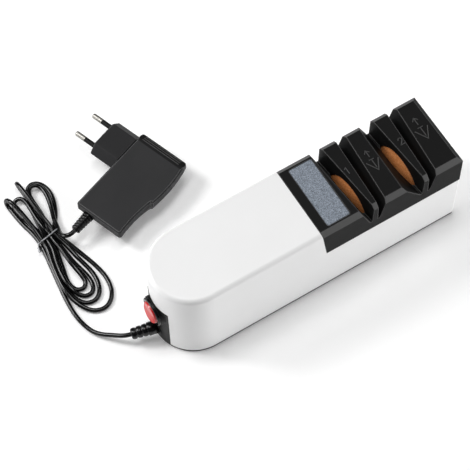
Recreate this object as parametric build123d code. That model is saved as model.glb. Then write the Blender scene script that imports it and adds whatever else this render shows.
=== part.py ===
from build123d import *

import os
from math import asin, atan2, cos, pi, radians, sin, sqrt, tan

# Electric knife sharpener with a captive adapter lead. Millimetres, +Z up.
# The origin is on the table, under the centre of the sharpener without its cord.
# +X runs along the body to the sharpening head, and the switch is at the -X end.

# ---------------------------------------------------------------- body
BODY_LENGTH = 230.0
BODY_WIDTH = 60.0
BODY_HEIGHT = 79.6
WALL = 2.4
TOP_RADIUS = 3.6
HEAD_CORNER_RADIUS = 1.5
FOOT_PROUD = 0.8
PLATE_THICKNESS = 2.4
PLATE_INSET = 0.25
PLATE_LIP_HEIGHT = 3.0
PLATE_LIP_THICKNESS = 1.6
PLATE_LIP_GAP_WIDTH = 32.0   # gap in the lip behind the rear panel
REAR_REACH = 15.0            # how far the rear window and the lip's gap reach past the rear centre
VENT_LENGTH = 22.0
VENT_WIDTH = 2.2
VENT_PITCH = 8.0
VENTS = 4
SHUT_GAP = 0.15              # gap that shows as a line between two mouldings
SLIP_GAP = 0.2               # gap round a lip that slides inside a wall
SHAFT_GAP = 0.05             # radial gap round a turning or a threaded piece
CUT = 1.0                    # how far a cutting form reaches past what it cuts

# ---------------------------------------------------------------- head cap
HEAD_LENGTH = 114.6          # along the top face
SKIRT_HEIGHT = 29.6          # from the top face down to the white wall
SKIRT_RAKE = 4.4             # how far the skirt's rear edge leans towards the head
CAP_WALL = 2.4
CAP_CHAMFER = 3.4
CAP_LIP_DEPTH = 5.0
CAP_LIP_THICKNESS = 1.8
CAP_LIP_ROOT = 0.5           # how far the lip grows into the cap's ceiling
CAP_LIP_INSET = 2.0          # from the skirt's lower corner to the lip's rear end
CAP_BOSS_ROOT = 1.0          # how far the screw bosses grow into the cap
SLOT_DEPTH = 19.4
SLOT_FLOOR = 1.6
FIN_DRAFT = 0.5
# Lengths along the head of each block, knife slot and fin, from the stone block on.
# The first value is at the far side (+Y) and the second at the near side (-Y).
STONE_BLOCK = (26.1, 31.8)
COARSE_SLOT_LEFT = (9.6, 10.1)
COARSE_FIN = (12.0, 3.2)
COARSE_SLOT_RIGHT = (8.1, 6.6)
MIDDLE_BLOCK = (11.0, 14.4)
FINE_SLOT_LEFT = (11.0, 17.0)
FINE_FIN = (12.0, 3.2)
FINE_SLOT_RIGHT = (8.0, 6.7)
STONE_LENGTH = 49.8
STONE_WIDTH = 18.0
STONE_THICKNESS = 2.4
STONE_CORNER = 1.3
STONE_FROM_EDGE = 7.5        # from the head's rear edge to the stone
STONE_SUNK = 0.1
STONE_EDGE = 0.3

# ---------------------------------------------------------------- grinding train
AXIS_DEPTH = 30.6            # from the top face down to the shaft's axis
AXIS_HEIGHT = BODY_HEIGHT - AXIS_DEPTH
WHEEL_RADIUS = 23.4
WHEEL_BULGE = 9.2            # half thickness of the lens-shaped wheel
WHEEL_RIM_RADIUS = 3.6       # rounding of the wheel's rim
WHEEL_FLAT = 7.9             # half thickness at the clamping flats
WHEEL_GAP = 1.2              # running gap in the head cap
COARSE_WHEEL_PLACE = 42.1    # from the head's rear edge to the wheel's middle
FINE_WHEEL_PLACE = 83.6
SHAFT_RADIUS = 3.0
SHAFT_PROUD = 1.0            # how far the shaft reaches past its front bush
HUB_RADIUS = 7.0
FLANGE_RADIUS = 8.2
FLANGE_THICKNESS = 1.6
SPACER_RADIUS = 5.0
SHOULDER_RADIUS = 5.0
SHOULDER_LENGTH = 3.0
COLLAR_RADIUS = 5.5
COLLAR_LENGTH = 2.0
END_FLOAT = 0.3              # axial play of the shaft between its two collars
NUT_ACROSS_FLATS = 10.0
NUT_THICKNESS = 5.0
BUSH_RADIUS = 6.0
BUSH_LENGTH = 8.0
BUSH_FLANGE_RADIUS = 8.0
BUSH_FLANGE_THICKNESS = 1.5
REAR_BUSH_PLACE = 17.6       # from the head's rear edge to the bush's middle
FRONT_BUSH_PLACE = 103.6
BRACKET_THICKNESS = 5.0
BRACKET_EYE_RADIUS = 8.5
BRACKET_FOOT_LENGTH = 13.0
BRACKET_FOOT_WIDTH = 32.0
BRACKET_FOOT_HEIGHT = 6.0
MOTOR_RADIUS = 18.0
MOTOR_EDGE = 1.2
MOTOR_HOLE_RADIUS = 2.2
MOTOR_HOLE_DEPTH = 1.5
MOTOR_HOLE_SPREAD = 11.5     # from the axis
MOTOR_TAB_SPREAD = 10.0      # from the axis
MOTOR_CAP_RADIUS = 16.5
MOTOR_CAP_LENGTH = 8.0
MOTOR_BOSS_RADIUS = 6.5
MOTOR_BOSS_LENGTH = 2.4
MOTOR_SHAFT_RADIUS = 1.6
MOTOR_SHAFT_LENGTH = 12.0
MOTOR_TO_HEAD = 16.4         # from the motor's front face to the head's rear edge
SWITCH_ROOM = 39.0           # from the body's rear face to the motor's rear cap
MOTOR_LENGTH = BODY_LENGTH - HEAD_LENGTH - MOTOR_TO_HEAD - MOTOR_CAP_LENGTH - SWITCH_ROOM
COUPLING_RADIUS = 7.0
COUPLING_LENGTH = 20.0
COUPLING_EDGE = 0.6
GRUB_RADIUS = 1.25           # the coupling's set-screw holes
GRUB_FROM_END = 4.0
SHAFT_ENDS_GAP = 2.0         # between the two shaft ends inside the coupling
CRADLE_INSET = 4.0           # from each end of the motor can to the cradle
CRADLE_LENGTH = MOTOR_LENGTH - 2 * CRADLE_INSET
CRADLE_WIDTH = 48.0
CRADLE_RIB = 5.0
CRADLE_FLOOR = 6.0
CRADLE_WALL = 2.0            # how far the saddle's side walls reach in under the motor
CRADLE_GAP = 0.1
CRADLE_WINDOW_SILL = 6.0     # from the cradle's floor up to its side windows
CRADLE_WINDOW_HEAD = 14.0    # from the side windows up to the axis
STRAP_WIDTH = 10.0
STRAP_THICKNESS = 1.0
STRAP_SCREW_RADIUS = 1.0
STRAP_SCREW_LENGTH = 6.0
STRAP_SCREW_HEAD = (2.0, 1.2)   # radius and height
STRAP_SCREW_EDGE = 2.6       # from the cradle's side to the screw

# ---------------------------------------------------------------- rear panel and switch
PANEL_WIDTH = 26.8
PANEL_THICKNESS = 2.4
PANEL_PROUD = 0.3
PANEL_FLANGE = 2.2           # how far the inner flange reaches past the opening
PANEL_FLANGE_THICKNESS = 1.6
PANEL_RIM = 0.8              # how wide the rim is that joins the panel to its flange
SWITCH_HEIGHT = 38.6
SWITCH_PAD_RADIUS = 11.4
PANEL_TOP = SWITCH_HEIGHT + SWITCH_PAD_RADIUS
SWITCH_PAD_PROUD = 1.0
SWITCH_PAD_DEPTH = 5.0       # from the body's rear face in to the pad's back
BEZEL_RADIUS = 10.9
BEZEL_THICKNESS = 2.0
BEZEL_EDGE = 0.9
BARREL_RADIUS = 9.9
BARREL_LENGTH = 16.0
ROCKER_RADIUS = 8.6
ROCKER_GAP = 0.3
POCKET_BACK = 2.0            # room behind the rocker
FINGER_LENGTH = 5.0
FINGER_WIDTH = 5.0
FINGER_ROOT = 0.5            # how deep the fingers grow out of the barrel
FINGER_PROUD = 1.2           # how far the switch's snap fingers stand out of its barrel
ROCKER_PIVOT_DEPTH = 2.4     # from the bezel's face in to the rocker's pivot
ROCKER_VALLEY = 3.4          # from the pivot out to the rocker's middle line
ROCKER_BACK = 3.0
ROCKER_SLOPE = 5.0           # degrees, each half of the rocker's face
ROCKER_TILT = 6.0            # degrees, to each side of level
PIVOT_PIN_RADIUS = 1.0
PIVOT_PIN_REACH = 9.4        # from the rocker's middle to each pin's end
TERMINAL_LENGTH = 6.0
TERMINAL_WIDTH = 4.8
TERMINAL_THICKNESS = 0.8
SWITCH_TAB_SPREAD = 4.0      # from the switch's axis
RELIEF_HEIGHT = 12.5
RELIEF_YAW = 16.5            # degrees, towards +Y
RELIEF_DROOP = 8.0           # degrees, downwards
RELIEF_SEAT_DEPTH = 3.0      # from the body's rear face in to the seat's back
RELIEF_SEAT_RIM = 1.0        # how far the panel's seat reaches past the relief's flange
RELIEF_NECK = 1.2            # from the panel's seat out to the root of the tail
RELIEF_LENGTH = 18.4
RELIEF_ROOT_RADIUS = 4.2
RELIEF_TIP_RADIUS = 3.3
RELIEF_RIB = 0.9             # depth of the grooves between the ribs
RELIEF_RIBS = 5
RELIEF_RIB_SHARE = 0.6       # share of each pitch that is rib, the rest is groove
RELIEF_FLANGE_RADIUS = 5.8
RELIEF_FLANGE_THICKNESS = 1.6
WIRE_RADIUS = 0.8
WIRE_BEND = 1.5
WIRE_LEAD = 4.5              # straight run out of a terminal
WIRE_SPREAD = 2.0            # of the cord's two cores, from the axis

# ---------------------------------------------------------------- fasteners and feet
SCREW_RADIUS = 1.5
SCREW_HEAD_RADIUS = 2.9
SCREW_HEAD_HEIGHT = 1.4
SCREW_LENGTH = 8.0           # thread above the base plate
SCREW_TIP_GAP = 1.0          # between a screw's tip and the end of its hole
SCREW_CROSS = (3.0, 0.6, 1.2)   # length, width and depth of the driver's cross
BOSS_RADIUS = 3.5
SHELL_BOSS_HEIGHT = 22.0
SHELL_WEB_THICKNESS = 2.0
SHELL_WEB_START = 4.0        # from the base plate up to the boss's web
SHELL_SCREW_PLACE = (12.0, 17.0)     # behind the rear centre, and to each side
CAP_SCREW_INSETS = (7.0, 8.5)        # from the head's rear and front edges
CAP_SCREW_SPREAD = 21.0
CRADLE_SCREW_INSETS = (4.0, 4.0)     # from the cradle's ends and sides
BRACKET_SCREW_SPREAD = 13.0
FOOT_RADIUS = 6.0
FOOT_SUNK = 1.0
FOOT_EDGE = 0.3
FOOT_SPREAD = 19.0
FOOT_PLACES = (4.0, 22.0)            # ahead of the rear centre, and behind the head end

# ---------------------------------------------------------------- cord and adapter
CORD_RADIUS = 1.65
LEAD_EXIT_RUN = 8.0          # straight run out of the sharpener's relief
ADAPTER_EXIT_RUN = 4.8       # straight run out of the adapter's relief
HANK_HEIGHT = 7.8
HANK_EDGE = 2.2
# The outline of the hank's folds on the table, anticlockwise from its far left.
HANK_OUTLINE = [(-151.2, 147.5), (-143.0, 156.0), (-127.7, 148.7), (-122.6, 133.5), (-128.3, 112.0),
                (-130.0, 97.5), (-123.2, 73.0), (-120.2, 55.0), (-125.8, 38.5), (-136.3, 34.5),
                (-146.6, 42.3), (-152.5, 65.0), (-149.8, 85.0), (-147.9, 100.4), (-150.9, 118.0)]
HANK_TIE_LIFT = 1.6
TIE_RADIUS = 0.6
TIE_MIDDLE = (-141.9, 103.5)
TIE_YAW = 11.5               # degrees, of the tie across the hank
TIE_WIDTH = 15.7
TIE_GROOVE = 1.3             # how deep the tie pulls into the hank's sides and top
TIE_GROOVE_WIDTH = 3.0
TIE_BEND = 1.6               # radius of the tie's own corners
TIE_END_LENGTH = 8.0
TIE_END_LEANS = (-35.0, 20.0)   # degrees
ADAPTER_CENTRE = (-75.2, 101.8)
ADAPTER_YAW = 20.0           # degrees
ADAPTER_LENGTH = 68.4        # along the top face
ADAPTER_DEPTH = 40.7
ADAPTER_THICKNESS = 22.0
ADAPTER_EDGE = 1.2
ADAPTER_CORNER = 2.0
ADAPTER_BEVEL = (6.2, 2.4)   # the sloping grip face at one end: its run and its drop
ADAPTER_DRAFT = 22.0         # degrees that the lower half's sides lean in
ADAPTER_SEAM_EDGE = 0.25
GRIP_RISE = 3.2              # how far the grip swells out of the adapter's long side
GRIP_HOLLOW = 0.8            # how far the same side is hollowed beside the grip
GRIP_STEP = 1.6              # height of the step between grip and hollow
GRIP_STEP_PLACE = 0.0        # from the adapter's middle
PLUG_PLACE = 22.0            # from the adapter's middle along its length
PLUG_WIDTH = 33.0
PLUG_FLAT_WIDTH = 21.0
PLUG_THICKNESS = 14.0
PLUG_REACH = 22.0
PLUG_CORNER = 1.2
PLUG_FACE_EDGE = 0.8
PIN_RADIUS = 2.0
PIN_SLEEVE_RADIUS = 1.9
PIN_CORE_RADIUS = 1.3
PIN_TIP_ROUNDING = 1.4
PIN_LENGTH = 19.0
PIN_SUNK = 3.0               # how far a pin's core goes into the block
PIN_SLEEVE_LENGTH = 10.0
PIN_SPACING = 19.0
ADAPTER_SEAM = ADAPTER_THICKNESS - PLUG_THICKNESS / 2    # height of the case's joint and the pins
ADAPTER_RELIEF_PLACE = 9.5   # from the adapter's middle, towards the pins
ADAPTER_RELIEF_LENGTH = 14.5
ADAPTER_RELIEF_RADII = (4.1, 3.5)    # at its root and at its tip

# ---------------------------------------------------------------- worked out
def rocker_reach():
    """How far the raised end of the rocker stands out from its pivot."""
    slope = radians(ROCKER_SLOPE)
    run = sqrt(ROCKER_RADIUS**2 - (ROCKER_VALLEY * cos(slope)) ** 2) - ROCKER_VALLEY * sin(slope)
    out = ROCKER_VALLEY + run * sin(slope)
    up = run * cos(slope)
    return out * cos(radians(ROCKER_TILT)) + up * sin(radians(ROCKER_TILT))


SWITCH_REACH = SWITCH_PAD_PROUD + BEZEL_THICKNESS + rocker_reach() - ROCKER_PIVOT_DEPTH
REAR_X = SWITCH_REACH - (BODY_LENGTH + SWITCH_REACH) / 2
HEAD_X = REAR_X + BODY_LENGTH
HALF_WIDTH = BODY_WIDTH / 2
REAR_CENTRE_X = REAR_X + HALF_WIDTH
CAP_X = HEAD_X - HEAD_LENGTH
PLATE_TOP = FOOT_PROUD + PLATE_THICKNESS
SKIRT_Z = BODY_HEIGHT - SKIRT_HEIGHT
SLOT_FLOOR_Z = BODY_HEIGHT - SLOT_DEPTH
CAP_CEILING_Z = SLOT_FLOOR_Z - CAP_WALL
SHAFT_AXIS = Axis((0, 0, AXIS_HEIGHT), (1, 0, 0))
MOTOR_X = CAP_X - MOTOR_TO_HEAD
SHAFT_START_X = MOTOR_X + MOTOR_SHAFT_LENGTH + SHAFT_ENDS_GAP
SHAFT_END_X = CAP_X + FRONT_BUSH_PLACE + BUSH_LENGTH / 2 + SHAFT_PROUD
CRADLE_X = MOTOR_X - MOTOR_LENGTH / 2
BEZEL_X = REAR_X - SWITCH_PAD_PROUD - BEZEL_THICKNESS
PIVOT_X = BEZEL_X + ROCKER_PIVOT_DEPTH

# Screws are driven up through the base plate. Each place is (x, y).
SIDES = (-1, 1)
SHELL_SCREWS = [(REAR_CENTRE_X - SHELL_SCREW_PLACE[0], side * SHELL_SCREW_PLACE[1]) for side in SIDES]
CAP_SCREWS = [(x, side * CAP_SCREW_SPREAD)
              for x in (CAP_X + CAP_SCREW_INSETS[0], HEAD_X - CAP_SCREW_INSETS[1]) for side in SIDES]
CRADLE_SCREWS = [(CRADLE_X + end * (CRADLE_LENGTH / 2 - CRADLE_SCREW_INSETS[0]),
                  side * (CRADLE_WIDTH / 2 - CRADLE_SCREW_INSETS[1])) for end in SIDES for side in SIDES]
BRACKET_SCREWS = [(CAP_X + place, side * BRACKET_SCREW_SPREAD)
                  for place in (REAR_BUSH_PLACE, FRONT_BUSH_PLACE) for side in SIDES]
ALL_SCREWS = SHELL_SCREWS + CAP_SCREWS + CRADLE_SCREWS + BRACKET_SCREWS
FEET = [(x, side * FOOT_SPREAD)
        for x in (REAR_CENTRE_X + FOOT_PLACES[0], HEAD_X - FOOT_PLACES[1]) for side in SIDES]
STRAP_SCREWS = [(CRADLE_X, side * (CRADLE_WIDTH / 2 - STRAP_SCREW_EDGE)) for side in SIDES]
WHOLE_WIDTH = (-BODY_WIDTH, BODY_WIDTH)     # a range that spans the body for a cutting form


# ---------------------------------------------------------------- helpers
def turned(profile_points, axis=SHAFT_AXIS):
    """Turns a closed profile, given as (along X, radius) points, about a level axis."""
    height = axis.position.Z
    points = [(x, height + radius) for x, radius in profile_points]
    return revolve(Plane.XZ * make_face(Polyline(*points, close=True)), axis)


def rod(x_start, x_end, radius, y=0.0, z=AXIS_HEIGHT):
    """A cylinder along X."""
    middle = Pos((x_start + x_end) / 2, y, z) * Rot(0, 90, 0)
    return middle * Cylinder(radius, x_end - x_start)


def block(x_range, y_range, z_range):
    """A box given by its limits."""
    sizes = [high - low for low, high in (x_range, y_range, z_range)]
    centre = [(high + low) / 2 for low, high in (x_range, y_range, z_range)]
    return Pos(*centre) * Box(*sizes)


def column(x, y, z_low, z_high, radius):
    """An upright cylinder."""
    return Pos(x, y, (z_low + z_high) / 2) * Cylinder(radius, z_high - z_low)


def screw_hole(x, y):
    """The blind hole above the base plate that a screw cuts its thread in."""
    return column(x, y, PLATE_TOP - CUT, PLATE_TOP + SCREW_LENGTH, SCREW_RADIUS + SHAFT_GAP)


def body_outline(inset):
    """Plan of the body: a half-round rear end and a square head end."""
    radius = HALF_WIDTH - inset
    end = HEAD_X - inset
    outline = Line((REAR_CENTRE_X, -radius), (end, -radius))
    outline += Line((end, -radius), (end, radius))
    outline += Line((end, radius), (REAR_CENTRE_X, radius))
    outline += ThreePointArc((REAR_CENTRE_X, radius), (REAR_CENTRE_X - radius, 0), (REAR_CENTRE_X, -radius))
    return make_face(outline)


def body_prism(inset, z_low, z_high):
    """The body's plan between two heights."""
    return extrude(Pos(0, 0, z_low) * body_outline(inset), z_high - z_low)


def head_side(gap):
    """The side view of the head cap as a prism across the body, smaller by a gap on its shut lines."""
    points = [
        (CAP_X + gap, BODY_HEIGHT + CUT),
        (CAP_X + gap, BODY_HEIGHT),
        (CAP_X + SKIRT_RAKE + gap, SKIRT_Z + gap),
        (HEAD_X + CUT, SKIRT_Z + gap),
        (HEAD_X + CUT, BODY_HEIGHT + CUT),
    ]
    side = Plane.XZ * make_face(Polyline(*points, close=True))
    return extrude(side, HALF_WIDTH + CUT, both=True)


def rounded_head_corners(solid):
    """Rounds the two upright corners at the head end."""
    upright = solid.edges().filter_by(Axis.Z).group_by(Axis.X)[-1]
    return fillet(upright, HEAD_CORNER_RADIUS)


# ---------------------------------------------------------------- white shell and base
def housing_shell():
    """White body moulding: open below, with the head's opening and the rear panel's window."""
    outer = rounded_head_corners(body_prism(0, PLATE_TOP, BODY_HEIGHT))
    outer = fillet(outer.faces().sort_by(Axis.Z)[-1].edges(), TOP_RADIUS)
    shell = outer - body_prism(WALL, PLATE_TOP - CUT, BODY_HEIGHT - WALL)
    shell -= head_side(0)
    shell -= rear_window(0)
    boss_top = PLATE_TOP + SHELL_BOSS_HEIGHT
    half_web = SHELL_WEB_THICKNESS / 2
    for x, y in SHELL_SCREWS:
        side = 1 if y > 0 else -1
        wall_y = side * (HALF_WIDTH - WALL / 2) * cos(asin((REAR_CENTRE_X - x) / HALF_WIDTH))
        web_z = (PLATE_TOP + SHELL_WEB_START, boss_top)
        web = block((x - half_web, x + half_web), sorted((y, wall_y)), web_z)
        shell += column(x, y, PLATE_TOP, boss_top, BOSS_RADIUS) + web
        shell -= screw_hole(x, y)
    return shell


def base_plate():
    """Black plate that closes the body from below, with a lip, countersinks, vents and foot seats."""
    plate = rounded_head_corners(body_prism(PLATE_INSET, FOOT_PROUD, PLATE_TOP))
    lip_outside = WALL + SLIP_GAP
    lip_top = PLATE_TOP + PLATE_LIP_HEIGHT
    half_gap = PLATE_LIP_GAP_WIDTH / 2
    lip = body_prism(lip_outside, PLATE_TOP, lip_top)
    lip -= body_prism(lip_outside + PLATE_LIP_THICKNESS, PLATE_TOP - CUT, lip_top + CUT)
    gap_x = (REAR_X - CUT, REAR_CENTRE_X - REAR_REACH)
    lip -= block(gap_x, (-half_gap, half_gap), (PLATE_TOP - CUT, lip_top + CUT))
    plate += lip
    for x, y in ALL_SCREWS:
        plate -= column(x, y, FOOT_PROUD - CUT, PLATE_TOP + CUT, SCREW_RADIUS + SLIP_GAP)
        cone = Cone(SCREW_HEAD_RADIUS + SLIP_GAP, SCREW_RADIUS + SLIP_GAP, SCREW_HEAD_HEIGHT)
        plate -= Pos(x, y, FOOT_PROUD + SCREW_HEAD_HEIGHT / 2) * cone
    for x, y in FEET:
        plate -= column(x, y, FOOT_PROUD - CUT, FOOT_PROUD + FOOT_SUNK, FOOT_RADIUS + SHAFT_GAP)
    for index in range(VENTS):
        x = CRADLE_X + VENT_PITCH * (index - (VENTS - 1) / 2)
        vent = extrude(SlotOverall(VENT_LENGTH, VENT_WIDTH), PLATE_THICKNESS, both=True)
        plate -= Pos(x, 0, PLATE_TOP - PLATE_THICKNESS / 2) * Rot(0, 0, 90) * vent
    return plate


def base_screws():
    """Countersunk screws, driven up from below."""
    low = FOOT_PROUD
    head = Pos(0, 0, low + SCREW_HEAD_HEIGHT / 2) * Cone(SCREW_HEAD_RADIUS, SCREW_RADIUS, SCREW_HEAD_HEIGHT)
    tip = PLATE_TOP + SCREW_LENGTH - SCREW_TIP_GAP
    screw = head + column(0, 0, low + SCREW_HEAD_HEIGHT, tip, SCREW_RADIUS)
    length, width, depth = SCREW_CROSS
    for turn in (0, 90):
        screw -= Pos(0, 0, low) * Rot(0, 0, turn) * Box(length, width, 2 * depth)
    return Compound(children=[Pos(x, y, 0) * screw for x, y in ALL_SCREWS])


def rubber_feet():
    """Four feet pressed into seats in the base plate."""
    foot = column(0, 0, 0, FOOT_PROUD + FOOT_SUNK, FOOT_RADIUS)
    foot = chamfer(foot.edges().sort_by(Axis.Z)[0], FOOT_EDGE)
    return Compound(children=[Pos(x, y, 0) * foot for x, y in FEET])


# ---------------------------------------------------------------- head cap
def head_stations():
    """Distances of every edge along the head's top, as (far, near) pairs."""
    lengths = (STONE_BLOCK, COARSE_SLOT_LEFT, COARSE_FIN, COARSE_SLOT_RIGHT, MIDDLE_BLOCK,
               FINE_SLOT_LEFT, FINE_FIN, FINE_SLOT_RIGHT)
    far, near, stations = CAP_X, CAP_X, []
    for far_length, near_length in lengths:
        far, near = far + far_length, near + near_length
        stations.append((far, near))
    return stations


def knife_slot(left, right, fin_on_right):
    """A V-shaped slot across the head: one steep wall on the fin and one sloping wall that guides the blade.
    left and right are its top edges, each as (far x, near x)."""
    sections = []
    for index, y in ((0, HALF_WIDTH), (1, -HALF_WIDTH)):
        top_left, top_right = left[index], right[index]
        if fin_on_right:
            low_right = top_right - FIN_DRAFT
            low_left = low_right - SLOT_FLOOR
        else:
            low_left = top_left + FIN_DRAFT
            low_right = low_left + SLOT_FLOOR
        over = CUT / SLOT_DEPTH
        corners = [
            (low_left, SLOT_FLOOR_Z),
            (low_right, SLOT_FLOOR_Z),
            (top_right + (top_right - low_right) * over, BODY_HEIGHT + CUT),
            (top_left + (top_left - low_left) * over, BODY_HEIGHT + CUT),
        ]
        beyond = CUT if index == 0 else -CUT
        sections.append(Pos(0, y + beyond, 0) * (Plane.XZ * make_face(Polyline(*corners, close=True))))
    return loft(sections, ruled=True)


def wheel_form(middle, gap):
    """The lens shape of a grinding wheel, grown by a gap: two flat arcs joined by a tangent rim arc."""
    rim, bulge = WHEEL_RIM_RADIUS, WHEEL_BULGE
    rim_centre = WHEEL_RADIUS - rim
    side_radius = (bulge**2 + rim_centre**2 - rim**2) / (2 * (bulge - rim))
    side_centre = side_radius - bulge
    joint = atan2(rim_centre, side_centre)
    grown = side_radius + gap

    def side_point(angle, side):
        """A point of the lens's left (-1) or right (+1) face."""
        return (middle + side * (grown * cos(angle) - side_centre), AXIS_HEIGHT + grown * sin(angle))

    outline = ThreePointArc(side_point(0, -1), side_point(joint / 2, -1), side_point(joint, -1))
    crest = (middle, AXIS_HEIGHT + WHEEL_RADIUS + gap)
    outline += ThreePointArc(side_point(joint, -1), crest, side_point(joint, 1))
    outline += ThreePointArc(side_point(joint, 1), side_point(joint / 2, 1), side_point(0, 1))
    outline += Line(side_point(0, 1), side_point(0, -1))
    return revolve(Plane.XZ * make_face(outline), SHAFT_AXIS)


def head_cap():
    """Black head moulding: stone block, two fins over the wheels, four knife slots and a skirt."""
    cap = body_prism(0, SKIRT_Z - CUT, BODY_HEIGHT)
    cap = chamfer(cap.faces().sort_by(Axis.Z)[-1].edges(), CAP_CHAMFER)
    cap = cap & head_side(SHUT_GAP)
    cap -= body_prism(CAP_WALL, SKIRT_Z - 2 * CUT, CAP_CEILING_Z)
    lip_outside = WALL + SLIP_GAP
    lip_bottom = SKIRT_Z - CAP_LIP_DEPTH
    lip = body_prism(lip_outside, lip_bottom, CAP_CEILING_Z + CAP_LIP_ROOT)
    lip -= body_prism(lip_outside + CAP_LIP_THICKNESS, lip_bottom - CUT, CAP_CEILING_Z)
    lip = lip & block((CAP_X + SKIRT_RAKE + CAP_LIP_INSET, HEAD_X), WHOLE_WIDTH, (0, BODY_HEIGHT))
    cap += lip
    edges = head_stations()
    pocket_y = (-HALF_WIDTH + 2 * CAP_WALL, HALF_WIDTH - 2 * CAP_WALL)
    stone_pocket = (CAP_X + CAP_WALL, CAP_X + STONE_BLOCK[0] - CAP_WALL)
    stone_ceiling = BODY_HEIGHT - STONE_SUNK - STONE_THICKNESS - CAP_WALL
    cap -= block(stone_pocket, pocket_y, (CAP_CEILING_Z - CUT, stone_ceiling))
    end_pocket = (edges[7][0] + CAP_WALL, HEAD_X - CAP_WALL - CAP_CHAMFER)
    cap -= block(end_pocket, pocket_y, (CAP_CEILING_Z - CUT, BODY_HEIGHT - CAP_WALL))
    for x, y in CAP_SCREWS:
        cap += column(x, y, PLATE_TOP, stone_ceiling + CAP_BOSS_ROOT, BOSS_RADIUS)
        cap -= screw_hole(x, y)
    cap -= knife_slot(edges[0], edges[1], True)
    cap -= knife_slot(edges[2], edges[3], False)
    cap -= knife_slot(edges[4], edges[5], True)
    cap -= knife_slot(edges[6], edges[7], False)
    for place in (COARSE_WHEEL_PLACE, FINE_WHEEL_PLACE):
        cap -= wheel_form(CAP_X + place, WHEEL_GAP)
    return cap - stone_seat()


def stone_plan(grow):
    """Plan of the whetstone, centred on its place in the first block."""
    plan = RectangleRounded(STONE_WIDTH + 2 * grow, STONE_LENGTH + 2 * grow, STONE_CORNER + grow)
    return Pos(CAP_X + STONE_FROM_EDGE + STONE_WIDTH / 2, 0, 0) * plan


def stone_seat():
    """The recess that the whetstone lies in."""
    floor = BODY_HEIGHT - STONE_SUNK - STONE_THICKNESS
    return extrude(Pos(0, 0, floor) * stone_plan(SHUT_GAP), STONE_THICKNESS + CUT)


def whetstone():
    """Flat stone for ceramic and scissor blades, glued into its seat."""
    floor = BODY_HEIGHT - STONE_SUNK - STONE_THICKNESS
    stone = extrude(Pos(0, 0, floor) * stone_plan(0), STONE_THICKNESS)
    return chamfer(stone.faces().sort_by(Axis.Z)[-1].edges(), STONE_EDGE)


# ---------------------------------------------------------------- grinding train
def grinding_wheel(place):
    """A bonded abrasive wheel with clamping flats and a bore for its hub."""
    middle = CAP_X + place
    wheel = wheel_form(middle, 0)
    wheel = wheel & rod(middle - WHEEL_FLAT, middle + WHEEL_FLAT, WHEEL_RADIUS + CUT)
    return wheel - rod(middle - WHEEL_BULGE, middle + WHEEL_BULGE, HUB_RADIUS + SHAFT_GAP)


def wheel_hub(place):
    """Flanged sleeve that carries a wheel on the shaft."""
    left = CAP_X + place - WHEEL_FLAT
    right = CAP_X + place + WHEEL_FLAT
    bore = SHAFT_RADIUS + SHAFT_GAP
    profile = [(left - FLANGE_THICKNESS, bore), (right, bore), (right, HUB_RADIUS), (left, HUB_RADIUS),
               (left, FLANGE_RADIUS), (left - FLANGE_THICKNESS, FLANGE_RADIUS)]
    return turned(profile)


def bored(x_start, x_end, radius):
    """A ring or sleeve that slides on the wheel shaft."""
    return rod(x_start, x_end, radius) - rod(x_start - CUT, x_end + CUT, SHAFT_RADIUS + SHAFT_GAP)


def clamp_washer(place):
    """Washer that presses a wheel against its hub's flange."""
    left = CAP_X + place + WHEEL_FLAT
    return bored(left, left + FLANGE_THICKNESS, FLANGE_RADIUS)


def spacer_sleeve():
    """Tube on the shaft that holds the two wheels apart."""
    left = CAP_X + COARSE_WHEEL_PLACE + WHEEL_FLAT + FLANGE_THICKNESS
    right = CAP_X + FINE_WHEEL_PLACE - WHEEL_FLAT - FLANGE_THICKNESS
    return bored(left, right, SPACER_RADIUS)


def lock_nut():
    """Hexagon nut that clamps the wheel stack."""
    left = CAP_X + FINE_WHEEL_PLACE + WHEEL_FLAT + FLANGE_THICKNESS
    hexagon = RegularPolygon(NUT_ACROSS_FLATS / 2, 6, major_radius=False)
    seat = Plane(origin=(left, 0, AXIS_HEIGHT), x_dir=(0, 1, 0), z_dir=(1, 0, 0))
    nut = extrude(seat * hexagon, NUT_THICKNESS)
    return nut - rod(left - CUT, left + NUT_THICKNESS + CUT, SHAFT_RADIUS + SHAFT_GAP)


def wheel_shaft():
    """Steel shaft with a shoulder that the wheel stack is clamped against."""
    shoulder_end = CAP_X + COARSE_WHEEL_PLACE - WHEEL_FLAT - FLANGE_THICKNESS
    shoulder_start = shoulder_end - SHOULDER_LENGTH
    profile = [(SHAFT_START_X, 0), (SHAFT_START_X, SHAFT_RADIUS), (shoulder_start, SHAFT_RADIUS),
               (shoulder_start, SHOULDER_RADIUS), (shoulder_end, SHOULDER_RADIUS), (shoulder_end, SHAFT_RADIUS),
               (SHAFT_END_X, SHAFT_RADIUS), (SHAFT_END_X, 0)]
    return turned(profile)


def shaft_coupling():
    """Sleeve that joins the motor's shaft to the wheel shaft."""
    start = SHAFT_START_X - SHAFT_ENDS_GAP / 2 - COUPLING_LENGTH / 2
    end = start + COUPLING_LENGTH
    middle = SHAFT_START_X - SHAFT_ENDS_GAP / 2
    small, large = MOTOR_SHAFT_RADIUS + SHAFT_GAP, SHAFT_RADIUS + SHAFT_GAP
    profile = [(start, small), (middle, small), (middle, large), (end, large),
               (end, COUPLING_RADIUS - COUPLING_EDGE), (end - COUPLING_EDGE, COUPLING_RADIUS),
               (start + COUPLING_EDGE, COUPLING_RADIUS), (start, COUPLING_RADIUS - COUPLING_EDGE)]
    coupling = turned(profile)
    for x in (start + GRUB_FROM_END, end - GRUB_FROM_END):
        z_range = (AXIS_HEIGHT + SHAFT_RADIUS + CUT, AXIS_HEIGHT + COUPLING_RADIUS + CUT)
        coupling -= column(x, 0, *z_range, GRUB_RADIUS)
    return coupling


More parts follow.
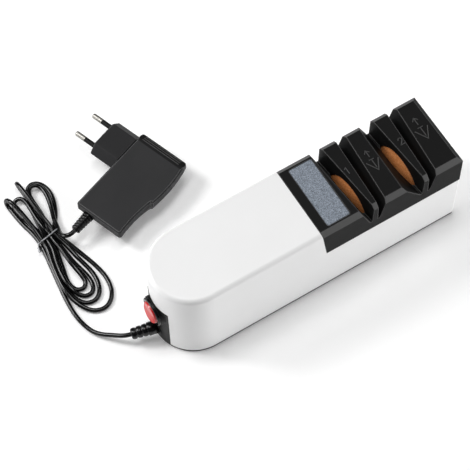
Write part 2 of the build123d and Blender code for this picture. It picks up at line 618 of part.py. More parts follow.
def motor_shaft():
    """The motor's output shaft."""
    return rod(MOTOR_X - MOTOR_LENGTH / 2, MOTOR_X + MOTOR_SHAFT_LENGTH, MOTOR_SHAFT_RADIUS)


def motor_can():
    """Drawn steel motor can with a bearing boss and two fixing holes."""
    rear = MOTOR_X - MOTOR_LENGTH
    can = rod(rear, MOTOR_X, MOTOR_RADIUS)
    can = chamfer(can.edges().filter_by(GeomType.CIRCLE).sort_by(Axis.X)[-1], MOTOR_EDGE)
    can += rod(MOTOR_X, MOTOR_X + MOTOR_BOSS_LENGTH, MOTOR_BOSS_RADIUS)
    bore = MOTOR_SHAFT_RADIUS + SHAFT_GAP
    can -= rod(MOTOR_X - MOTOR_LENGTH / 2 - CUT, MOTOR_X + MOTOR_BOSS_LENGTH + CUT, bore)
    for side in SIDES:
        can -= rod(MOTOR_X - MOTOR_HOLE_DEPTH, MOTOR_X + CUT, MOTOR_HOLE_RADIUS, y=side * MOTOR_HOLE_SPREAD)
    return can


def motor_end_cap():
    """Black rear cap of the motor with the brush holders."""
    front = MOTOR_X - MOTOR_LENGTH
    cap = rod(front - MOTOR_CAP_LENGTH, front, MOTOR_CAP_RADIUS)
    return chamfer(cap.edges().filter_by(GeomType.CIRCLE).sort_by(Axis.X)[0], MOTOR_EDGE)


def tab_pair(x, spread, z):
    """Two upright spade terminals whose rear ends stand at x, side by side."""
    tab = Box(TERMINAL_LENGTH, TERMINAL_THICKNESS, TERMINAL_WIDTH)
    return Compound(children=[Pos(x + TERMINAL_LENGTH / 2, side * spread, z) * tab for side in SIDES])


def motor_terminals():
    """Two brass tabs on the motor's rear cap."""
    start = MOTOR_X - MOTOR_LENGTH - MOTOR_CAP_LENGTH
    return tab_pair(start - TERMINAL_LENGTH, MOTOR_TAB_SPREAD, AXIS_HEIGHT)


def motor_cradle():
    """Moulded saddle that carries the motor on the base plate."""
    half = CRADLE_LENGTH / 2
    cradle = block((CRADLE_X - half, CRADLE_X + half), (-CRADLE_WIDTH / 2, CRADLE_WIDTH / 2),
                   (PLATE_TOP, AXIS_HEIGHT))
    cradle -= rod(CRADLE_X - half - CUT, CRADLE_X + half + CUT, MOTOR_RADIUS + CRADLE_GAP)
    bay = (CRADLE_LENGTH - 3 * CRADLE_RIB) / 2
    floor = PLATE_TOP + CRADLE_FLOOR
    inside = MOTOR_RADIUS - CRADLE_WALL
    for side in SIDES:
        middle = CRADLE_X + side * (CRADLE_RIB + bay) / 2
        x_range = (middle - bay / 2, middle + bay / 2)
        cradle -= block(x_range, (-inside, inside), (floor, AXIS_HEIGHT))
        cradle -= block(x_range, WHOLE_WIDTH, (floor + CRADLE_WINDOW_SILL, AXIS_HEIGHT - CRADLE_WINDOW_HEAD))
    for x, y in CRADLE_SCREWS:
        cradle -= screw_hole(x, y)
    for x, y in STRAP_SCREWS:
        hole_bottom = AXIS_HEIGHT + STRAP_THICKNESS - STRAP_SCREW_LENGTH - SCREW_TIP_GAP
        cradle -= column(x, y, hole_bottom, AXIS_HEIGHT + CUT, STRAP_SCREW_RADIUS + SHAFT_GAP)
    return cradle


def motor_strap():
    """Steel band that holds the motor down."""
    inner = MOTOR_RADIUS + CRADLE_GAP
    x_range = (CRADLE_X - STRAP_WIDTH / 2, CRADLE_X + STRAP_WIDTH / 2)
    half = CRADLE_WIDTH / 2
    band = rod(*x_range, inner + STRAP_THICKNESS)
    band += block(x_range, (-half, half), (AXIS_HEIGHT, AXIS_HEIGHT + STRAP_THICKNESS))
    band = band & block(x_range, WHOLE_WIDTH, (AXIS_HEIGHT, BODY_HEIGHT))
    band -= rod(x_range[0] - CUT, x_range[1] + CUT, inner)
    for x, y in STRAP_SCREWS:
        z_range = (AXIS_HEIGHT - CUT, AXIS_HEIGHT + STRAP_THICKNESS + CUT)
        band -= column(x, y, *z_range, STRAP_SCREW_RADIUS + SLIP_GAP)
    return band


def strap_screws():
    """Two pan-head screws for the motor strap."""
    top = AXIS_HEIGHT + STRAP_THICKNESS
    head_radius, head_height = STRAP_SCREW_HEAD
    screw = column(0, 0, top - STRAP_SCREW_LENGTH, top, STRAP_SCREW_RADIUS)
    screw += column(0, 0, top, top + head_height, head_radius)
    return Compound(children=[Pos(x, y, 0) * screw for x, y in STRAP_SCREWS])


def bearing_bracket(place):
    """Upright with an eye for a shaft bush and a foot that is screwed to the base plate."""
    x = CAP_X + place
    half = BRACKET_THICKNESS / 2
    foot_half = BRACKET_FOOT_WIDTH / 2
    foot_top = PLATE_TOP + BRACKET_FOOT_HEIGHT
    plane = Plane(origin=(x - half, 0, 0), x_dir=(0, 1, 0), z_dir=(1, 0, 0))
    web = Polyline((-foot_half, PLATE_TOP), (foot_half, PLATE_TOP), (foot_half, foot_top),
                   (BRACKET_EYE_RADIUS, AXIS_HEIGHT), (-BRACKET_EYE_RADIUS, AXIS_HEIGHT),
                   (-foot_half, foot_top), close=True)
    bracket = extrude(plane * make_face(web), BRACKET_THICKNESS)
    bracket += rod(x - half, x + half, BRACKET_EYE_RADIUS)
    foot = block((x - BRACKET_FOOT_LENGTH / 2, x + BRACKET_FOOT_LENGTH / 2), (-foot_half, foot_half),
                 (PLATE_TOP, foot_top))
    bracket += foot
    bracket -= rod(x - half - CUT, x + half + CUT, BUSH_RADIUS + SHAFT_GAP)
    for screw_x, y in BRACKET_SCREWS:
        bracket -= screw_hole(screw_x, y)
    return bracket


def shaft_bush(place, flange_side):
    """Flanged bronze bush. flange_side is the side of its bracket that the flange bears on."""
    x = CAP_X + place
    face = x + flange_side * BRACKET_THICKNESS / 2
    flange = sorted((face, face + flange_side * BUSH_FLANGE_THICKNESS))
    bush = rod(x - BUSH_LENGTH / 2, x + BUSH_LENGTH / 2, BUSH_RADIUS) + rod(*flange, BUSH_FLANGE_RADIUS)
    return bush - rod(x - BUSH_LENGTH, x + BUSH_LENGTH, SHAFT_RADIUS + SHAFT_GAP)


def shaft_collar(side):
    """Collar on the shaft beside the rear bush: side -1 is towards the motor and +1 towards the wheels."""
    near = CAP_X + REAR_BUSH_PLACE + side * (BUSH_LENGTH / 2 + END_FLOAT / 2)
    return bored(*sorted((near, near + side * COLLAR_LENGTH)), COLLAR_RADIUS)


# ---------------------------------------------------------------- rear panel, switch and strain relief
def rear_window(grow):
    """The window in the shell's round end, grown by a distance on its sides and top."""
    half = PANEL_WIDTH / 2 + grow
    return block((REAR_X - CUT, REAR_CENTRE_X - REAR_REACH), (-half, half), (PLATE_TOP, PANEL_TOP + grow))


def body_ring(inset, thickness):
    """An upright wall that follows the body's plan, from an inset inwards."""
    return body_prism(inset, 0, BODY_HEIGHT) - body_prism(inset + thickness, -CUT, BODY_HEIGHT + CUT)


def rear_panel():
    """Black panel in the shell's window, with a flange inside and flat seats for switch and cord."""
    flange_inset = WALL + SLIP_GAP
    flange = body_ring(flange_inset, PANEL_FLANGE_THICKNESS) & rear_window(PANEL_FLANGE)
    front = body_ring(-PANEL_PROUD, PANEL_PROUD + flange_inset + PANEL_FLANGE_THICKNESS)
    panel = (front & rear_window(-SHUT_GAP)) + flange
    hollow_inset = PANEL_THICKNESS - PANEL_PROUD
    hollow = body_ring(hollow_inset, flange_inset + PANEL_FLANGE_THICKNESS)
    panel -= hollow & rear_window(-SHUT_GAP - PANEL_RIM)
    pad = (REAR_X - SWITCH_PAD_PROUD, REAR_X + SWITCH_PAD_DEPTH)
    panel += rod(*pad, SWITCH_PAD_RADIUS, z=SWITCH_HEIGHT)
    panel -= rod(pad[0] - CUT, pad[1] + CUT, BARREL_RADIUS + SHAFT_GAP, z=SWITCH_HEIGHT)
    seat = (REAR_X - PANEL_PROUD, REAR_X + RELIEF_SEAT_DEPTH)
    panel += rod(*seat, RELIEF_FLANGE_RADIUS + RELIEF_SEAT_RIM, z=RELIEF_HEIGHT)
    panel -= rod(seat[0] - CUT, seat[1] + CUT, RELIEF_ROOT_RADIUS + SHAFT_GAP, z=RELIEF_HEIGHT)
    return panel


def switch_body():
    """Round rocker switch: bezel, barrel with the rocker's pocket, pivot holes and snap fingers."""
    barrel_start = BEZEL_X + BEZEL_THICKNESS
    bezel = rod(BEZEL_X, barrel_start, BEZEL_RADIUS, z=SWITCH_HEIGHT)
    bezel = fillet(bezel.edges().filter_by(GeomType.CIRCLE).sort_by(Axis.X)[0], BEZEL_EDGE)
    switch = bezel + rod(barrel_start, barrel_start + BARREL_LENGTH, BARREL_RADIUS, z=SWITCH_HEIGHT)
    pocket_end = PIVOT_X + ROCKER_BACK + POCKET_BACK
    switch -= rod(BEZEL_X - CUT, pocket_end, ROCKER_RADIUS + ROCKER_GAP, z=SWITCH_HEIGHT)
    pivot = Pos(PIVOT_X, 0, SWITCH_HEIGHT) * Rot(90, 0, 0)
    switch -= pivot * Cylinder(PIVOT_PIN_RADIUS + SHAFT_GAP, 2 * PIVOT_PIN_REACH + 2 * SLIP_GAP)
    finger_start = REAR_X + SWITCH_PAD_DEPTH + SHAFT_GAP
    for side in SIDES:
        root = SWITCH_HEIGHT + side * (BARREL_RADIUS - FINGER_ROOT)
        tip = SWITCH_HEIGHT + side * (BARREL_RADIUS + FINGER_PROUD)
        toe = (finger_start + FINGER_LENGTH, root)
        wedge = Polyline((finger_start, root), (finger_start, tip), toe, close=True)
        switch += extrude(Plane.XZ * make_face(wedge), FINGER_WIDTH / 2, both=True)
    return switch


def switch_terminals():
    """Two spade terminals at the back of the switch."""
    return tab_pair(BEZEL_X + BEZEL_THICKNESS + BARREL_LENGTH, SWITCH_TAB_SPREAD, SWITCH_HEIGHT)


def rocker():
    """The switch's rocker with its two pivot pins, resting with its lower end out."""
    reach = 2 * ROCKER_RADIUS
    rise = reach * tan(radians(ROCKER_SLOPE))
    side_view = Polyline((ROCKER_BACK, -reach), (-ROCKER_VALLEY - rise, -reach), (-ROCKER_VALLEY, 0),
                         (-ROCKER_VALLEY - rise, reach), (ROCKER_BACK, reach), close=True)
    form = Sphere(ROCKER_RADIUS) & extrude(Plane.XZ * make_face(side_view), reach, both=True)
    form += Rot(90, 0, 0) * Cylinder(PIVOT_PIN_RADIUS, 2 * PIVOT_PIN_REACH)
    return Pos(PIVOT_X, 0, SWITCH_HEIGHT) * Rot(0, ROCKER_TILT, 0) * form


def ribbed_tail(root_radius, tip_radius, length):
    """A tapered, ribbed cord relief along -X from the origin."""
    pitch = length / (RELIEF_RIBS + RELIEF_RIB_SHARE)
    slope = (root_radius - tip_radius) / length
    points = [(0, 0), (0, root_radius)]
    for index in range(RELIEF_RIBS):
        start = (index + RELIEF_RIB_SHARE) * pitch
        end = (index + 1) * pitch
        points += [(-start, root_radius - slope * start), (-start, root_radius - slope * start - RELIEF_RIB),
                   (-end, root_radius - slope * end - RELIEF_RIB), (-end, root_radius - slope * end)]
    points += [(-length, tip_radius), (-length, 0)]
    return turned(points, Axis((0, 0, 0), (1, 0, 0)))


def relief_place():
    """A frame at the root of the tail. The tail runs along its -X."""
    root = Pos(REAR_X - PANEL_PROUD - RELIEF_NECK, 0, RELIEF_HEIGHT)
    return root * Rot(0, 0, -RELIEF_YAW) * Rot(0, -RELIEF_DROOP, 0)


def cord_strain_relief():
    """Rubber relief: a flange behind the panel, a neck through it and a ribbed tail outside."""
    seat_back = REAR_X + RELIEF_SEAT_DEPTH
    root = REAR_X - PANEL_PROUD
    relief = rod(seat_back, seat_back + RELIEF_FLANGE_THICKNESS, RELIEF_FLANGE_RADIUS, z=RELIEF_HEIGHT)
    relief += rod(root - RELIEF_NECK, seat_back, RELIEF_ROOT_RADIUS, z=RELIEF_HEIGHT)
    bend = Sphere(RELIEF_ROOT_RADIUS)
    tail = ribbed_tail(RELIEF_ROOT_RADIUS, RELIEF_TIP_RADIUS, RELIEF_LENGTH)
    return relief + relief_place() * (bend + tail)


def wire(points):
    """A round wire along straight runs joined by equal arcs."""
    path = FilletPolyline(*points, radius=WIRE_BEND)
    return sweep(Plane(origin=path @ 0, z_dir=path % 0) * Circle(WIRE_RADIUS), path)


def inner_wires():
    """The cord's cores and the link between switch and motor."""
    relief_x = REAR_X + RELIEF_SEAT_DEPTH + RELIEF_FLANGE_THICKNESS + SLIP_GAP
    switch_x = BEZEL_X + BEZEL_THICKNESS + BARREL_LENGTH + TERMINAL_LENGTH
    motor_x = MOTOR_X - MOTOR_LENGTH - MOTOR_CAP_LENGTH - TERMINAL_LENGTH
    core, tab, brush = WIRE_SPREAD, SWITCH_TAB_SPREAD, MOTOR_TAB_SPREAD
    switch_turn, motor_turn = switch_x + WIRE_LEAD, motor_x - WIRE_LEAD
    return Compound(children=[
        wire([(relief_x, -core, RELIEF_HEIGHT), (switch_turn, -tab, RELIEF_HEIGHT),
              (switch_turn, -tab, SWITCH_HEIGHT), (switch_x, -tab, SWITCH_HEIGHT)]),
        wire([(relief_x, core, RELIEF_HEIGHT), (motor_turn, brush, RELIEF_HEIGHT),
              (motor_turn, brush, AXIS_HEIGHT), (motor_x, brush, AXIS_HEIGHT)]),
        wire([(switch_x, tab, SWITCH_HEIGHT), (switch_turn, tab, SWITCH_HEIGHT),
              (motor_turn, -brush, AXIS_HEIGHT), (motor_x, -brush, AXIS_HEIGHT)]),
    ])


# ---------------------------------------------------------------- cord
def tangent_radii(points):
    """For each bend of a cord's route, the radius that uses 0.45 of the shorter run beside it."""
    radii = []
    for before, here, after in zip(points, points[1:], points[2:]):
        run_in, run_out = Vector(*here) - Vector(*before), Vector(*after) - Vector(*here)
        turn = radians(run_in.get_angle(run_out))
        radii.append(0.45 * min(run_in.length, run_out.length) / tan(turn / 2))
    return radii


def cord_tube(name, points):
    """A cord along straight runs joined by tangent arcs. Prints its radii and checks its volume."""
    radii = tangent_radii(points)
    path = FilletPolyline(*points, radius=radii)
    tube = sweep(Plane(origin=path @ 0, z_dir=path % 0) * Circle(CORD_RADIUS), path)
    share = tube.volume / (pi * CORD_RADIUS**2 * path.length)
    print(name, "radii", [round(radius, 1) for radius in radii], "length", round(path.length, 1),
          "volume share", round(share, 4), "points", [[round(value, 2) for value in point] for point in points])
    return tube


def lead_cord():
    """Lead from the sharpener down to the table and in under the hank."""
    tip = relief_place() * Pos(-RELIEF_LENGTH, 0, 0)
    bend = tip * Pos(-LEAD_EXIT_RUN, 0, 0)
    return cord_tube("lead_cord", [tuple(tip.position), tuple(bend.position), (-146.0, 15.5, 4.6),
                                   (-151.9, 26.5, 2.0), (-154.8, 39.5, 1.9), (-154.6, 54.0, 1.9),
                                   (-152.7, 69.0, 1.9), (-148.8, 83.5, 2.4)])


def adapter_lead():
    """Lead from the hank to the adapter's relief."""
    tip_x = -ADAPTER_LENGTH / 2 - ADAPTER_RELIEF_LENGTH
    tip = adapter_place() * Pos(tip_x, ADAPTER_RELIEF_PLACE, ADAPTER_SEAM)
    bend = tip * Pos(-ADAPTER_EXIT_RUN, 0, 0)
    return cord_tube("adapter_lead", [tuple(tip.position), tuple(bend.position), (-133.3, 94.6, 12.6),
                                      (-136.0, 99.8, 6.4)])


def tie_place():
    """The tie's own frame on the table: +X across the hank and +Y along it."""
    return Pos(*TIE_MIDDLE, 0) * Rot(0, 0, TIE_YAW)


def cord_hank():
    """The cord's folded turns as one bundle, waisted where the tie goes round it."""
    ring = [(x, y, 0) for x, y in HANK_OUTLINE]
    bends = tangent_radii([ring[-1]] + ring + [ring[0]])
    outline = FilletPolyline(*ring, radius=bends, close=True)
    hank = extrude(make_face(outline), HANK_HEIGHT)
    hank = chamfer(hank.edges().group_by(Axis.Z)[0] + hank.edges().group_by(Axis.Z)[-1], HANK_EDGE)
    waist_height = HANK_HEIGHT - HANK_TIE_LIFT - TIE_GROOVE
    slab = tie_place() * Pos(0, 0, HANK_HEIGHT / 2) * Box(3 * TIE_WIDTH, TIE_GROOVE_WIDTH, 2 * HANK_HEIGHT)
    waist = Box(TIE_WIDTH - 2 * TIE_GROOVE, TIE_GROOVE_WIDTH + 2 * SLIP_GAP, waist_height)
    waist = fillet(waist.edges().filter_by(Axis.Y), TIE_BEND - TIE_RADIUS)
    waist = tie_place() * Pos(0, 0, HANK_TIE_LIFT + waist_height / 2) * waist
    return (hank - slab) + (hank & waist)


def hank_tie():
    """A twist tie round the hank's waist, with its two ends on top."""
    half = TIE_WIDTH / 2 - TIE_GROOVE + TIE_RADIUS
    low, high = HANK_TIE_LIFT - TIE_RADIUS, HANK_HEIGHT - TIE_GROOVE + TIE_RADIUS
    section = Pos(0, (low + high) / 2) * RectangleRounded(2 * half, high - low, TIE_BEND)
    path = (Plane.XZ * section).face().outer_wire()
    loop = sweep(Plane(origin=path @ 0, z_dir=path % 0) * Circle(TIE_RADIUS), path)
    stub = column(0, 0, 0, TIE_END_LENGTH, TIE_RADIUS)
    ends = [Pos(0, 0, high) * Rot(0, lean, 0) * stub for lean in TIE_END_LEANS]
    return tie_place() * (loop + ends)


# ---------------------------------------------------------------- adapter
def adapter_place():
    """The adapter's own frame: +X along its length and +Y towards its pins."""
    return Pos(*ADAPTER_CENTRE, 0) * Rot(0, 0, ADAPTER_YAW)


def adapter_plan():
    """The case's outline at its joint, with a grip on the long side away from the pins."""
    left, right, back = -ADAPTER_LENGTH / 2, ADAPTER_LENGTH / 2 + ADAPTER_BEVEL[0], -ADAPTER_DEPTH / 2
    grip_end = (GRIP_STEP_PLACE, back - GRIP_RISE + GRIP_STEP / 2)
    hollow_start = (GRIP_STEP_PLACE - GRIP_STEP / 2, grip_end[1] + GRIP_STEP)
    outline = Polyline((left, back), (left, -back), (right, -back), (right, back))
    outline += ThreePointArc((right, back), ((right + GRIP_STEP_PLACE) / 2, back - GRIP_RISE), grip_end)
    outline += Line(grip_end, hollow_start)
    outline += ThreePointArc(hollow_start, ((left + GRIP_STEP_PLACE) / 2, back + GRIP_HOLLOW), (left, back))
    plan = make_face(outline)
    corners = plan.vertices().group_by(Axis.X)
    return Pos(0, 0, ADAPTER_SEAM) * fillet(corners[0] + corners[-1], ADAPTER_CORNER)


def adapter_case_top():
    """The case's upper half, with a sloping grip face at the end away from the cord."""
    half = extrude(adapter_plan(), ADAPTER_THICKNESS - ADAPTER_SEAM)
    run, drop = ADAPTER_BEVEL
    foot, top = ADAPTER_LENGTH / 2 + run, ADAPTER_THICKNESS
    corner = (foot + run, top + drop)
    slope = Polyline((foot - 2 * run, top + drop), (foot + run, top - 2 * drop), corner, close=True)
    half -= extrude(Plane.XZ * make_face(slope), ADAPTER_DEPTH, both=True)
    half = chamfer(half.faces().sort_by(Axis.Z)[-1].edges(), ADAPTER_EDGE)
    return adapter_place() * chamfer(half.faces().sort_by(Axis.Z)[0].edges(), ADAPTER_SEAM_EDGE)


def adapter_case_bottom():
    """The case's lower half: its sides lean in, with upright seats for the plug block and the relief."""
    half = extrude(adapter_plan(), -ADAPTER_SEAM, taper=ADAPTER_DRAFT)
    depth = ADAPTER_SEAM * tan(radians(ADAPTER_DRAFT))
    seats = extrude(plug_section(), depth)
    relief_seat = Rot(0, 90, 0) * Cylinder(ADAPTER_RELIEF_RADII[0], depth)
    seats += Pos((depth - ADAPTER_LENGTH) / 2, ADAPTER_RELIEF_PLACE, ADAPTER_SEAM) * relief_seat
    reach = 2 * ADAPTER_LENGTH
    return adapter_place() * (half + (seats & block((-reach, reach), (-reach, reach), (0, ADAPTER_SEAM))))


def plug_section():
    """The plug block's six-sided section, on the case's side and facing into it."""
    half, flat, high = PLUG_WIDTH / 2, PLUG_FLAT_WIDTH / 2, PLUG_THICKNESS / 2
    corners = [(-half, 0), (-flat, high), (flat, high), (half, 0), (flat, -high), (-flat, -high)]
    section = Polyline(*corners, close=True)
    root = (PLUG_PLACE, ADAPTER_DEPTH / 2, ADAPTER_SEAM)
    return Plane(origin=root, x_dir=(1, 0, 0), z_dir=(0, -1, 0)) * make_face(section)


def plug_block():
    """The faceted block that carries the pins."""
    body = extrude(plug_section(), -PLUG_REACH)
    body = fillet(body.edges().filter_by(Axis.Y), PLUG_CORNER)
    body = chamfer(body.faces().sort_by(Axis.Y)[-1].edges(), PLUG_FACE_EDGE)
    for side in SIDES:
        body -= pin_axis(side) * Cylinder(PIN_CORE_RADIUS + SHAFT_GAP, 2 * PIN_SUNK)
    return adapter_place() * body


def pin_axis(side):
    """A frame at the root of one pin, with +Z along the pin, in the adapter's own frame."""
    x = PLUG_PLACE + side * PIN_SPACING / 2
    return Pos(x, ADAPTER_DEPTH / 2 + PLUG_REACH, ADAPTER_SEAM) * Rot(-90, 0, 0)


def plug_pins():
    """Two round mains pins, bare towards their tips."""
    core = column(0, 0, -PIN_SUNK, PIN_SLEEVE_LENGTH, PIN_CORE_RADIUS)
    bare = column(0, 0, PIN_SLEEVE_LENGTH, PIN_LENGTH, PIN_RADIUS)
    bare = fillet(bare.edges().sort_by(Axis.Z)[-1], PIN_TIP_ROUNDING)
    return Compound(children=[adapter_place() * pin_axis(side) * (core + bare) for side in SIDES])


def pin_sleeves():
    """Insulating sleeves on the pins' roots."""
    sleeve = column(0, 0, 0, PIN_SLEEVE_LENGTH, PIN_SLEEVE_RADIUS)
    sleeve -= column(0, 0, -CUT, PIN_SLEEVE_LENGTH + CUT, PIN_CORE_RADIUS + SHAFT_GAP)
    return Compound(children=[adapter_place() * pin_axis(side) * sleeve for side in SIDES])


def adapter_strain_relief():
    """Ribbed relief where the cord leaves the adapter's end."""
    root = Pos(-ADAPTER_LENGTH / 2, ADAPTER_RELIEF_PLACE, ADAPTER_SEAM)
    return adapter_place() * root * ribbed_tail(*ADAPTER_RELIEF_RADII, ADAPTER_RELIEF_LENGTH)


# ---------------------------------------------------------------- nodes
def main():
    nodes = {
        "housing_shell": housing_shell(),
        "head_cap": head_cap(),
        "whetstone": whetstone(),
        "base_plate": base_plate(),
        "base_screws": base_screws(),
        "rubber_feet": rubber_feet(),
        "rear_panel": rear_panel(),
        "switch_body": switch_body(),
        "switch_terminals": switch_terminals(),
        "rocker": rocker(),
        "cord_strain_relief": cord_strain_relief(),
        "inner_wires": inner_wires(),
        "motor_can": motor_can(),
        "motor_end_cap": motor_end_cap(),
        "motor_terminals": motor_terminals(),
        "motor_cradle": motor_cradle(),
        "motor_strap": motor_strap(),
        "strap_screws": strap_screws(),
        "motor_shaft": motor_shaft(),
        "shaft_coupling": shaft_coupling(),
        "wheel_shaft": wheel_shaft(),
        "rear_bracket": bearing_bracket(REAR_BUSH_PLACE),
        "front_bracket": bearing_bracket(FRONT_BUSH_PLACE),
        "rear_bush": shaft_bush(REAR_BUSH_PLACE, -1),
        "front_bush": shaft_bush(FRONT_BUSH_PLACE, 1),
        "rear_collar": shaft_collar(-1),
        "thrust_collar": shaft_collar(1),
        "coarse_wheel": grinding_wheel(COARSE_WHEEL_PLACE),
        "fine_wheel": grinding_wheel(FINE_WHEEL_PLACE),
        "coarse_hub": wheel_hub(COARSE_WHEEL_PLACE),
        "fine_hub": wheel_hub(FINE_WHEEL_PLACE),
        "coarse_washer": clamp_washer(COARSE_WHEEL_PLACE),
        "fine_washer": clamp_washer(FINE_WHEEL_PLACE),
        "spacer_sleeve": spacer_sleeve(),
        "lock_nut": lock_nut(),
        "lead_cord": lead_cord(),
        "cord_hank": cord_hank(),
        "hank_tie": hank_tie(),
        "adapter_lead": adapter_lead(),
        "adapter_strain_relief": adapter_strain_relief(),
        "adapter_case_top": adapter_case_top(),
        "adapter_case_bottom": adapter_case_bottom(),
        "plug_block": plug_block(),
        "pin_sleeves": pin_sleeves(),
        "plug_pins": plug_pins(),
    }
    os.makedirs("parts", exist_ok=True)
    for name, shape in nodes.items():
        export_step(shape, f"parts/{name}.step")


main()
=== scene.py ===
# %% [markdown]
# # An electric knife sharpener with its plug-in adapter
#
# The sharpener is a long white ABS housing with a black sharpening head at one end.
# Two abrasive wheels turn under the head, a flat whetstone lies on top of it, and a red
# rocker switch sits at the rounded rear end, over the cord. The cord is folded into a tied
# hank and ends in a plug-in adapter.
#
# The hard parts come from the CAD model, which is loaded first and never moved. Blender
# adds what CAD is poor at: the soft cord with its ribbed reliefs, the twist tie, the small
# raised marks, the adapter's grip ribs and every finish.

import math

import bmesh
import bpy
from mathutils import Matrix, Vector


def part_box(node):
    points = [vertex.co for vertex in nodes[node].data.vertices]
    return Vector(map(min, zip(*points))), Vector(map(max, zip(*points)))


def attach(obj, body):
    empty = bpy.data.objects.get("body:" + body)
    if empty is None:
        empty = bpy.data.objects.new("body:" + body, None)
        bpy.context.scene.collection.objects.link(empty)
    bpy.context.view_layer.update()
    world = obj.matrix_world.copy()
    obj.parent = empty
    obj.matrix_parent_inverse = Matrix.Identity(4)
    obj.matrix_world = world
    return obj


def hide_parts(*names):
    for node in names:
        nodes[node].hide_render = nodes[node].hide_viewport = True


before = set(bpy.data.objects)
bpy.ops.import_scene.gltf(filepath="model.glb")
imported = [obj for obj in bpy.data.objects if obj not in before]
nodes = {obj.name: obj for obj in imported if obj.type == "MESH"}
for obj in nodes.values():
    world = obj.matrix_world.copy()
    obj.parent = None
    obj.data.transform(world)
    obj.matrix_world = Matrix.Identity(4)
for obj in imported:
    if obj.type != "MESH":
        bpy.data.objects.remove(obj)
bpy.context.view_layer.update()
scene = bpy.context.scene
MM = 0.001

# %% [markdown]
# ## Camera
#
# The camera looks down steeply from the switch end. Its attitude is given by three axes: the
# one it looks back along, the one that points right in the picture, and the one that points
# up. A small roll tips the whole picture slightly. A long lens keeps the sides of the housing
# almost parallel, as in a catalogue picture.

# %% Camera
CAMERA_PLACE = Vector((-0.3382, -0.5015, 1.2114))
CAMERA_AZIMUTH = math.radians(-30.11)
CAMERA_ELEVATION = math.radians(62.78)
CAMERA_ROLL = math.radians(-1.45)
LENS_MM = 145.12
SENSOR_MM = 36.0
VIEW_REACH = 20.0   # metres that the camera sees


def camera_axes(azimuth, elevation, roll):
    """The camera's right, up and back directions as the columns of a matrix."""
    level = math.cos(elevation)
    back = Vector((math.sin(azimuth) * level, -math.cos(azimuth) * level, math.sin(elevation)))
    level_right = Vector((math.cos(azimuth), math.sin(azimuth), 0.0))
    level_up = back.cross(level_right)
    right = level_right * math.cos(roll) + level_up * math.sin(roll)
    up = level_up * math.cos(roll) - level_right * math.sin(roll)
    return Matrix((right, up, back)).transposed().to_4x4()


camera = bpy.data.objects.new("camera", bpy.data.cameras.new("camera"))
camera.data.lens = LENS_MM
camera.data.sensor_width = SENSOR_MM
camera.data.clip_end = VIEW_REACH
axes = camera_axes(CAMERA_AZIMUTH, CAMERA_ELEVATION, CAMERA_ROLL)
camera.matrix_world = Matrix.Translation(CAMERA_PLACE) @ axes
scene.collection.objects.link(camera)
scene.camera = camera
print("camera at", tuple(camera.location), "lens", LENS_MM, "mm")

# %% [markdown]
# ## The cord
#
# The real cord is a thin round PVC lead, 3.3 mm across, that springs back a little wherever
# nothing holds it. It leaves the sharpener through a ribbed relief, drops to the table, and
# is folded into a hank: nine strands pass side by side and on each other under one twist
# tie, and between them are five folds above the tie and four below it.
#
# Blender could bend it with a soft-body simulation, but then the folds would land anywhere.
# One NURBS curve with a round bevel is simpler and stays editable: each fold is a short list
# of control points, and a loop joins the folds in the order in which the cord was wound. The
# bevel is one unit wide and each point's radius shrinks it, because a curve's box grows by
# the radius of its points.
# The folds are given in the hank's own plan: u runs across it along the tie, v runs along
# the hank, and the third number is the height over the table, all in millimetres.

# %% The cord's facts
CORD_DIAMETER = 3.3
TIE_MIDDLE = Vector((-141.9, 103.5))
TIE_YAW = math.radians(11.5)
CURVE_BEVEL_STEPS = 5    # round the section, for each quarter
CURVE_STEPS = 8          # along the line, for each control point

LEAD = [(-129.85, 4.76, 10.15), (-134.1, 6.02, 9.52), (-141.1, 12.8, 6.3), (-147.5, 19.0, 3.6),
        (-151.9, 26.5, 2.0), (-154.8, 39.5, 1.9), (-154.6, 54.0, 1.9), (-152.7, 69.0, 1.9),
        (-150.6, 85.0, 2.0)]
ADAPTER_LEAD = [(-133.6, 100.4, 8.2), (-133.2, 95.4, 12.6), (-128.72, 92.43, 15.0),
                (-124.21, 94.07, 15.0)]

# Where each strand passes under the tie, from left to right: five lie low and four on them.
LANES = {
    "low_1": (-6.6, 2.85), "low_2": (-3.3, 2.85), "low_3": (0.0, 2.85), "low_4": (3.3, 2.85),
    "low_5": (6.8, 2.85),
    "high_1": (-4.95, 5.7), "high_2": (-1.65, 5.7), "high_3": (1.65, 5.7), "high_4": (4.95, 5.7),
}

